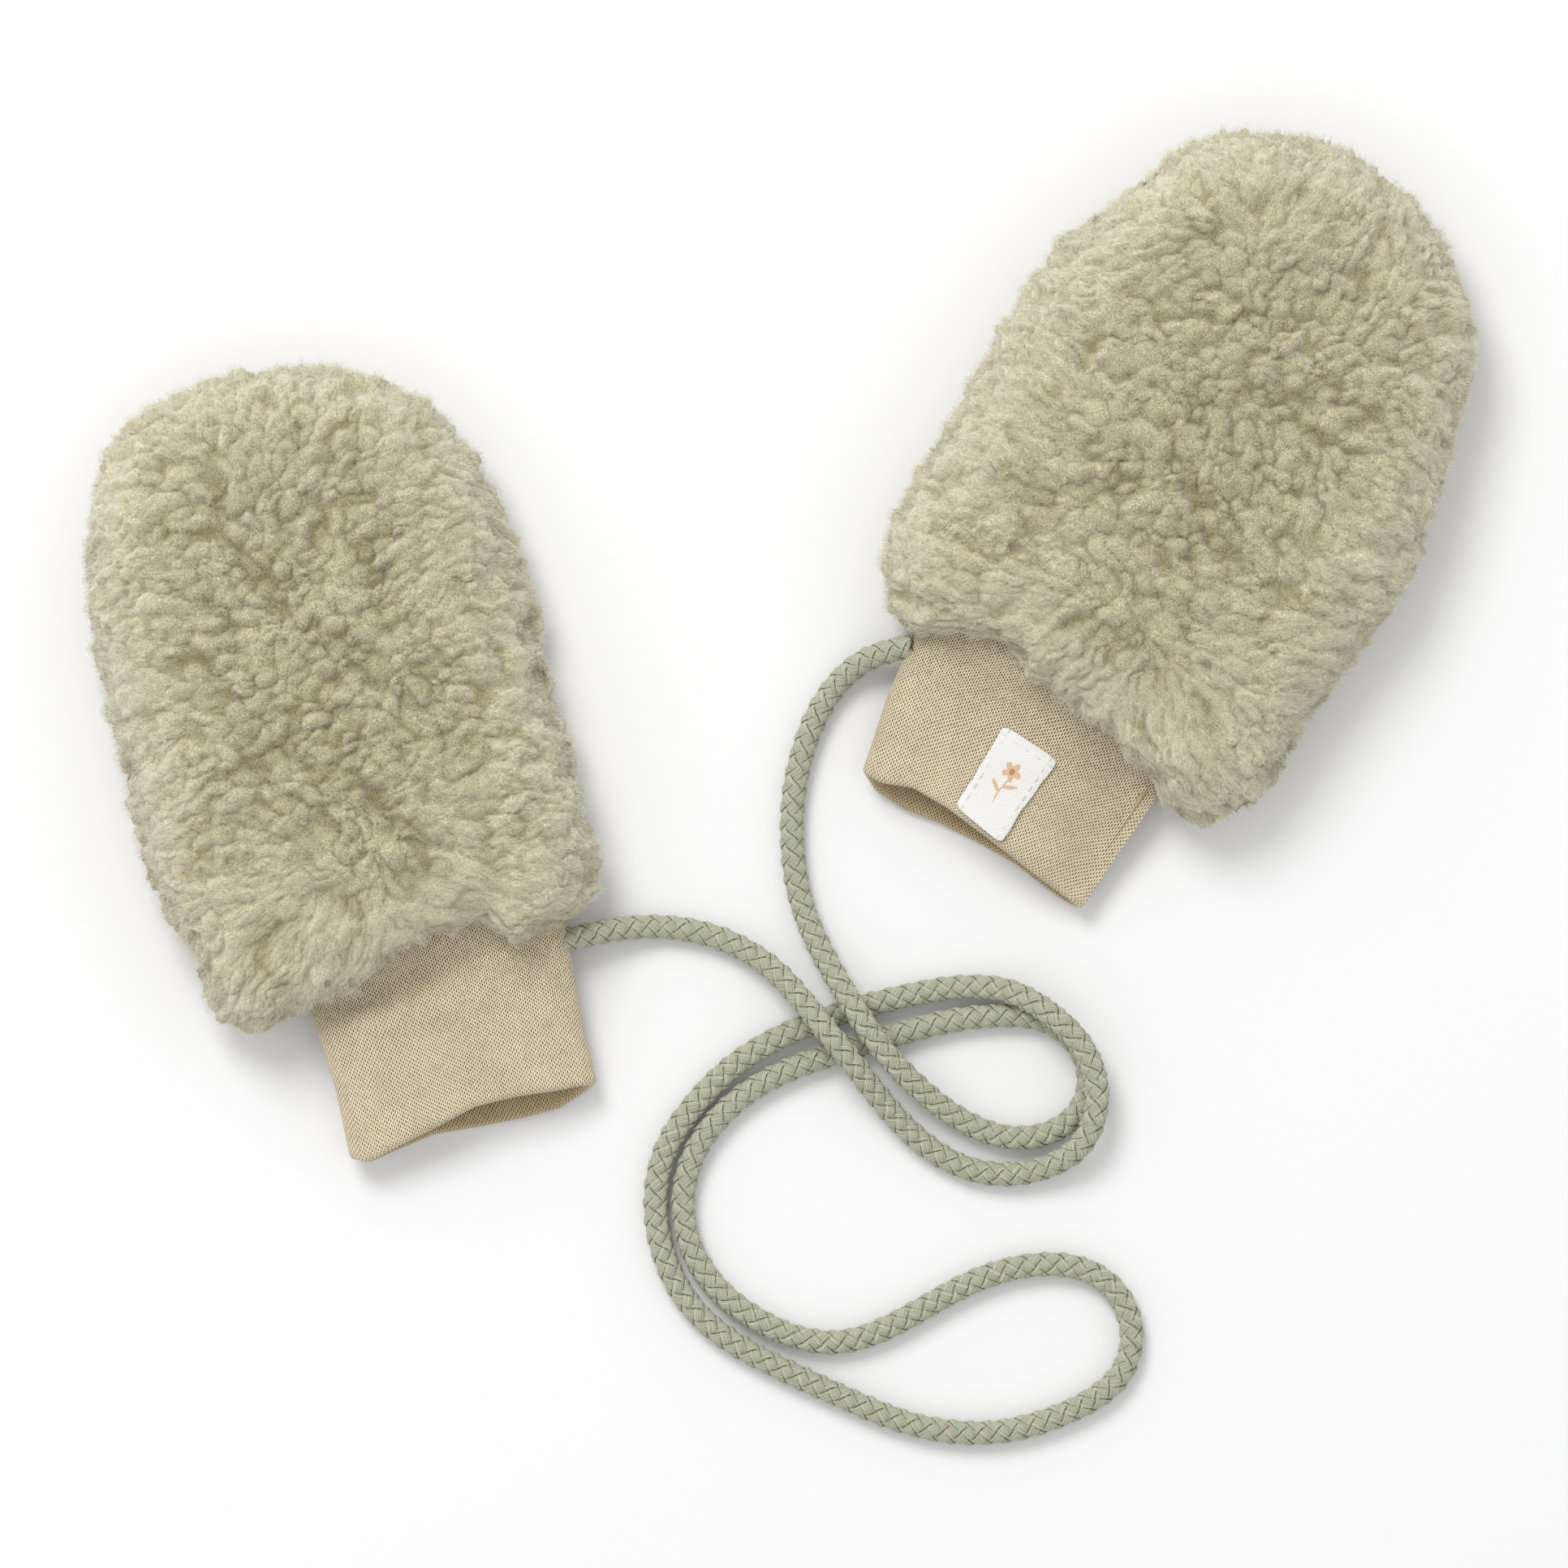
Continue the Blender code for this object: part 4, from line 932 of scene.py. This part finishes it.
def pile_panel(mitten, word, growth, material):
    node = f"{mitten['name']}_{word}_panel"
    body = pile_body(mitten, word)
    sizes = {"Fibres": FIBRES[word] / MM ** 2, "Length": FIBRE_LENGTH * MM,
             "Width": FIBRE_WIDTH / 2 * MM, "Curl": FIBRE_CURL * MM, "Lean": FIBRE_LEAN,
             "Draw": FIBRE_DRAW, "Floor": FLOOR_CLEAR * MM, "Seed": mitten["seed"]}
    fuzz = grow(f"{node}_fuzz", body, growth, sizes,
                drop=("lean", "drawn", "grows", "sweep", "root", "middle", "tip", "across", "over",
                      "width", "tint", "unit"))
    for name in ("lean", "drawn", "grows"):
        body.data.attributes.remove(body.data.attributes[name])
    body.data.materials.clear()
    body.data.materials.append(material)
    for piece in (body, fuzz):
        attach(piece, "root")
    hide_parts(node)


# --- cuffs ------------------------------------------------------------------------------

def cuff_section(mitten, up):
    """Middle across, half width, middle height and half height of the cuff at `up`."""
    table = np.array(mitten["cuff"])[::-1]
    left, right, low, high = (np.interp(up, table[:, 0], table[:, k]) for k in range(1, 5))
    return (left + right) / 2, (right - left) / 2, (low + high) / 2, (high - low) / 2


def bow(x):
    """Height of the flattened tube at x, from -1 to 1 across it."""
    return np.maximum(0.0, 1.0 - np.abs(x) ** CUFF_SQUARE) ** (1.0 / CUFF_SQUARE)


def hem_up(mitten, side, xs):
    """Where the folded hem lies, for each place across the layer."""
    table = np.array(mitten["mouth"])
    top = np.interp(xs, table[:, 0], table[:, 1])
    low = np.interp(xs, table[:, 0], table[:, 2])
    return (top + low) / 2 + side * (top - low) / 2 * np.minimum(1.0, 2.0 * bow(xs))


def crease_depth(mitten, u, v):
    """How far the soft creases lower the cuff's top layer."""
    sunk = np.zeros_like(u)
    for u0, v0, u1, v1, depth, wide in mitten["creases"]:
        along = np.array([u1 - u0, v1 - v0])
        t = np.clip(((u - u0) * along[0] + (v - v0) * along[1]) / (along @ along), 0.0, 1.0)
        gap = np.hypot(u - u0 - t * along[0], v - v0 - t * along[1])
        sunk += depth * np.exp(-(gap / wide) ** 2) * (0.55 + 0.45 * np.sin(math.pi * t))
    return sunk


def cuff_top(mitten, u, v):
    """Height of the cuff's outer face, top layer, with its creases."""
    middle, half_width, centre, half_height = cuff_section(mitten, v)
    shape = bow(np.clip((u - middle) / half_width, -1.0, 1.0))
    return centre + half_height * shape - crease_depth(mitten, u, v) * shape


def cuff_shell(mitten, material):
    """The knit tube with its outer end folded back inside: one closed double cloth."""
    name = mitten["name"]
    xs = -np.cos(math.pi * np.linspace(0.0, 1.0, CUFF_COLUMNS + 1))
    order = [(1, k) for k in range(len(xs))] + [(-1, k) for k in range(len(xs) - 2, 0, -1)]
    sides = np.array([s for s, _ in order])
    x = xs[[k for _, k in order]]
    hem = np.where(sides > 0, hem_up(mitten, 1, x), hem_up(mitten, -1, x)) + CLOTH / 2

    def ring(share, inset, forward):
        v = CUFF_END + (hem - CUFF_END) * share - forward
        middle, half_width, centre, half_height = cuff_section(mitten, v)
        u = middle + (half_width - inset) * x
        z = centre + sides * (half_height - inset) * bow(x)
        sink = crease_depth(mitten, u, v) * bow(x)
        return np.stack([u, v, z - np.where(sides > 0, sink, -0.25 * sink)], axis=1)

    shares = np.linspace(0.0, 1.0, CUFF_ROWS + 1)
    rings = [ring(share, 0.0, 0.0) for share in shares]
    for step in range(1, FOLD_STEPS):
        turn = math.pi * step / FOLD_STEPS
        rings.append(ring(1.0, CLOTH / 2 * (1.0 - math.cos(turn)), CLOTH / 2 * math.sin(turn)))
    rings += [ring(share, CLOTH, 0.0) for share in shares[::-2]]
    grid = np.array(rings)
    around = np.concatenate([[0.0], np.cumsum(np.linalg.norm(np.diff(
        np.concatenate([grid[CUFF_ROWS], grid[CUFF_ROWS][:1]]), axis=0), axis=1))])
    steps = np.linalg.norm(np.diff(grid[:, CUFF_COLUMNS // 2], axis=0), axis=1)
    down = np.concatenate([[0.0], np.cumsum(steps)])
    count = len(order)
    points = laid_down(mitten, grid).reshape(-1, 3)
    faces, uvs = [], []
    for i in range(len(rings)):
        after = (i + 1) % len(rings)
        for k in range(count):
            right = (k + 1) % count
            faces.append((i * count + k, after * count + k, after * count + right,
                          i * count + right))
            v0, v1 = down[i], down[after] if after else down[-1] + CLOTH
            uvs += [(around[k], v0), (around[k], v1), (around[k + 1], v1), (around[k + 1], v0)]
    mesh = bpy.data.meshes.new(f"{name}_cuff_knit")
    mesh.from_pydata(points.tolist(), [], faces)
    layer = mesh.uv_layers.new(name="UVMap")
    layer.data.foreach_set("uv", np.array(uvs, dtype=np.float32).ravel())
    # Marks the layer folded inside, which the knit paints darker as shade.
    inner_shade = np.repeat(np.arange(len(rings)) > CUFF_ROWS + FOLD_STEPS / 2, count)
    mesh.attributes.new("inner_shade", "FLOAT", "POINT").data.foreach_set(
        "value", inner_shade.astype(np.float32))
    mesh.materials.append(material)
    mesh.shade_smooth()
    cuff = new_object(f"{name}_cuff_knit", mesh)
    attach(cuff, "root")
    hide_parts(f"{name}_cuff")


# --- label ------------------------------------------------------------------------------

def motif(across, along):
    """A small daisy over two leaves, on the label's face: 0 bare, 0.6 petal, 1 heart."""
    u, v = (across - 0.5) * LABEL_FACE[0], along * LABEL_FACE[1] - FLOWER["down"]
    far, turn = np.hypot(u, v), np.arctan2(v, u)
    inked = far < FLOWER["between"] + FLOWER["petal"] * np.abs(np.cos(2.5 * turn))
    inked |= ((np.abs(u - 0.12 * np.sin(v)) < FLOWER["stem"] / 2) & (v > 1.9)
              & (v < FLOWER["stem_end"]))
    wide, high = FLOWER["leaf"]
    for hand, start in FLOWER["leaves"]:
        leaf_u, leaf_v = u * hand - wide, v - start + 0.55 * u * hand
        inked |= (leaf_u / wide) ** 2 + (leaf_v / high) ** 2 < 1.0
    return np.where(far < FLOWER["heart"], 1.0, 0.6 * inked)


def label_point(mitten, across, along):
    """A point in the mitten's frame, on the cuff under the label."""
    corner = {name: np.array(place) for name, place in LABEL_CORNERS.items()}
    near = corner["seam_left"] + (corner["seam_right"] - corner["seam_left"]) * across[..., None]
    far = corner["hem_left"] + (corner["hem_right"] - corner["hem_left"]) * across[..., None]
    flat = near + (far - near) * along[..., None]
    return flat[..., 0], flat[..., 1], cuff_top(mitten, flat[..., 0], flat[..., 1])


def label_tape(mitten, tape, thread):
    across, along = np.meshgrid(np.linspace(0, 1, LABEL_COLUMNS + 1),
                                np.linspace(0, 1, LABEL_ROWS + 1))
    sway = LABEL_SWAY * (np.sin(7.0 * along + 0.6) + 0.6 * np.sin(17.0 * along))
    round_off = 1.0 - 0.05 * np.abs(2 * across - 1) ** 8 * np.abs(2 * along - 1) ** 24
    u, v, z = label_point(mitten, 0.5 + (across - 0.5) * round_off + (across - 0.3) * sway,
                          0.5 + (along - 0.5) * round_off)
    z = z + 0.16 * np.sin(5.5 * along + 3.0 * across) * np.sin(math.pi * along)
    edge = np.minimum(across, 1 - across) * LABEL_FACE[0]
    puff = 0.12 * smooth_step(edge, 0.0, 1.0) * smooth_step(along * LABEL_FACE[1], 0.0, 1.2)
    layers = [np.stack([u, v, z + LABEL_LIFT], axis=-1),
              np.stack([u, v, z + LABEL_LIFT + LABEL_THICK * 0.7 + puff], axis=-1)]
    rows, columns = across.shape
    count = rows * columns
    points = np.concatenate([laid_down(mitten, layer).reshape(-1, 3) for layer in layers])
    faces = []
    for i in range(rows - 1):
        for k in range(columns - 1):
            a, b = i * columns + k, (i + 1) * columns + k
            faces.append((a, a + 1, b + 1, b))
            faces.append((count + a, count + b, count + b + 1, count + a + 1))
    loop = ([(0, k) for k in range(columns - 1)] + [(i, columns - 1) for i in range(rows - 1)]
            + [(rows - 1, k) for k in range(columns - 1, 0, -1)]
            + [(i, 0) for i in range(rows - 1, 0, -1)])
    ids = [i * columns + k for i, k in loop]
    for a, b in zip(ids, ids[1:] + ids[:1]):
        faces.append((a, count + a, count + b, b))
    mesh = bpy.data.meshes.new("right_label_tape")
    mesh.from_pydata(points.tolist(), [], faces)
    shell = bmesh.new()
    shell.from_mesh(mesh)
    bmesh.ops.recalc_face_normals(shell, faces=shell.faces)
    shell.to_mesh(mesh)
    shell.free()
    flat = np.stack([across * LABEL_FACE[0], along * LABEL_FACE[1]], axis=-1).reshape(-1, 2)
    flat = np.concatenate([flat, flat])
    layer = mesh.uv_layers.new(name="UVMap")
    ids = np.zeros(len(mesh.loops), dtype=int)
    mesh.loops.foreach_get("vertex_index", ids)
    layer.data.foreach_set("uv", flat[ids].astype(np.float32).ravel())
    values = np.tile(motif(across, along).ravel(), 2).astype(np.float32)
    mesh.attributes.new("motif", "FLOAT", "POINT").data.foreach_set("value", values)
    mesh.materials.append(tape)
    mesh.shade_smooth()
    label = new_object("right_label_tape", mesh)
    stitches = label_stitches(mitten, thread)
    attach(label, "root")
    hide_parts("right_label")
    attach(stitches, "root")


def stitch_growth(material):
    """Stitches along each line: a small rounded bar for each, end to end with gaps."""
    g = Growth("stitches", {"Pitch": "Float", "Length": "Float", "Wide": "Float",
                            "Thick": "Float"})
    line = g.add("GeometryNodeResampleCurve", {"Curve": g.size("Geometry"),
                                               "Length": g.size("Pitch")}, mode="LENGTH")
    turn = g.add("FunctionNodeAlignRotationToVector",
                 {"Vector": g.add("GeometryNodeInputTangent")}, axis="X")
    ball = g.add("GeometryNodeMeshUVSphere", {"Segments": 6, "Rings": 4, "Radius": 0.5})
    size = g.add("ShaderNodeCombineXYZ", {"X": g.size("Length"), "Y": g.size("Wide"),
                                          "Z": g.size("Thick")})
    bars = g.add("GeometryNodeInstanceOnPoints", {"Points": line, "Instance": ball,
                                                  "Rotation": turn, "Scale": size})
    g.finish(bars, material)
    return g


def label_stitches(mitten, thread):
    inset_u, inset_v = np.divide(STITCH_INSET, LABEL_FACE)
    ends = [((inset_u, 0.04), (inset_u, 0.97)), ((1 - inset_u, 0.04), (1 - inset_u, 0.97)),
            ((0.06, inset_v), (0.94, inset_v))]
    curve = bpy.data.curves.new("stitch_lines", "CURVE")
    curve.dimensions = "3D"
    for (a0, b0), (a1, b1) in ends:
        t = np.linspace(0.0, 1.0, 24)
        u, v, z = label_point(mitten, a0 + (a1 - a0) * t, b0 + (b1 - b0) * t)
        lifted = z + LABEL_LIFT + LABEL_THICK * 0.7 + 0.14
        line = curve.splines.new("POLY")
        line.points.add(len(t) - 1)
        for knot, place in zip(line.points, laid_down(mitten, np.stack([u, v, lifted], axis=1))):
            knot.co = (*place, 1.0)
    guide = new_object("stitch_lines", curve)
    length, wide, thick = STITCH
    made = grow("right_label_stitches", guide, stitch_growth(thread),
                {"Pitch": STITCH_PITCH * MM, "Length": length * MM, "Wide": wide * MM,
                 "Thick": thick * MM})
    bpy.data.objects.remove(guide)
    return made


# --- studio -----------------------------------------------------------------------------

def camera():
    made = bpy.data.cameras.new("camera")
    made.sensor_width = made.sensor_height = 36.0
    made.angle = 2.0 * math.atan(FIELD / 2.0 / (CAMERA_HEIGHT - FIELD_HEIGHT))
    made.clip_start, made.clip_end = 0.01, 50.0
    thing = new_object("camera", made)
    thing.location = Vector((*VIEW_CENTRE, CAMERA_HEIGHT)) * MM
    bpy.context.scene.camera = thing


def area_light(name, place, target, size, power):
    made = bpy.data.lights.new(name, "AREA")
    made.shape, made.size, made.energy = "DISK", size, power
    thing = new_object(name, made)
    thing.location = place
    aim = Vector(target) - Vector(place)
    thing.rotation_euler = aim.to_track_quat("-Z", "Y").to_euler()


def studio():
    world = bpy.data.worlds.new("soft_white")
    world.use_nodes = True
    sky = world.node_tree.nodes["Background"]
    sky.inputs["Color"].default_value = (1.0, 1.0, 1.0, 1.0)
    sky.inputs["Strength"].default_value = 0.86
    bpy.context.scene.world = world
    bpy.context.scene.view_settings.view_transform = "Standard"
    area_light("key", (-0.5, 0.92, 1.3), (0.0, 0.0, 0.0), 0.8, 16.0)
    half = FLOOR_SIZE / 2 * MM
    mesh = bpy.data.meshes.new("floor")
    mesh.from_pydata([(-half, -half, 0), (half, -half, 0), (half, half, 0), (-half, half, 0)], [],
                     [(0, 1, 2, 3)])
    mesh.materials.append(floor_finish())
    floor = new_object("floor", mesh)
    floor.location.z = -0.05 * MM


def main():
    camera()
    braided_cord()
    pile = pile_finish("teddy_pile", True)
    growth = fuzz_growth(pile_finish("teddy_fuzz", False))
    knit = knit_finish()
    for mitten in (LEFT, RIGHT):
        for word in ("top", "bottom"):
            pile_panel(mitten, word, growth, pile)
        cuff_shell(mitten, knit)
    label_tape(RIGHT, tape_finish(), thread_finish("label_thread", (0.70, 0.67, 0.60)))
    studio()


main()
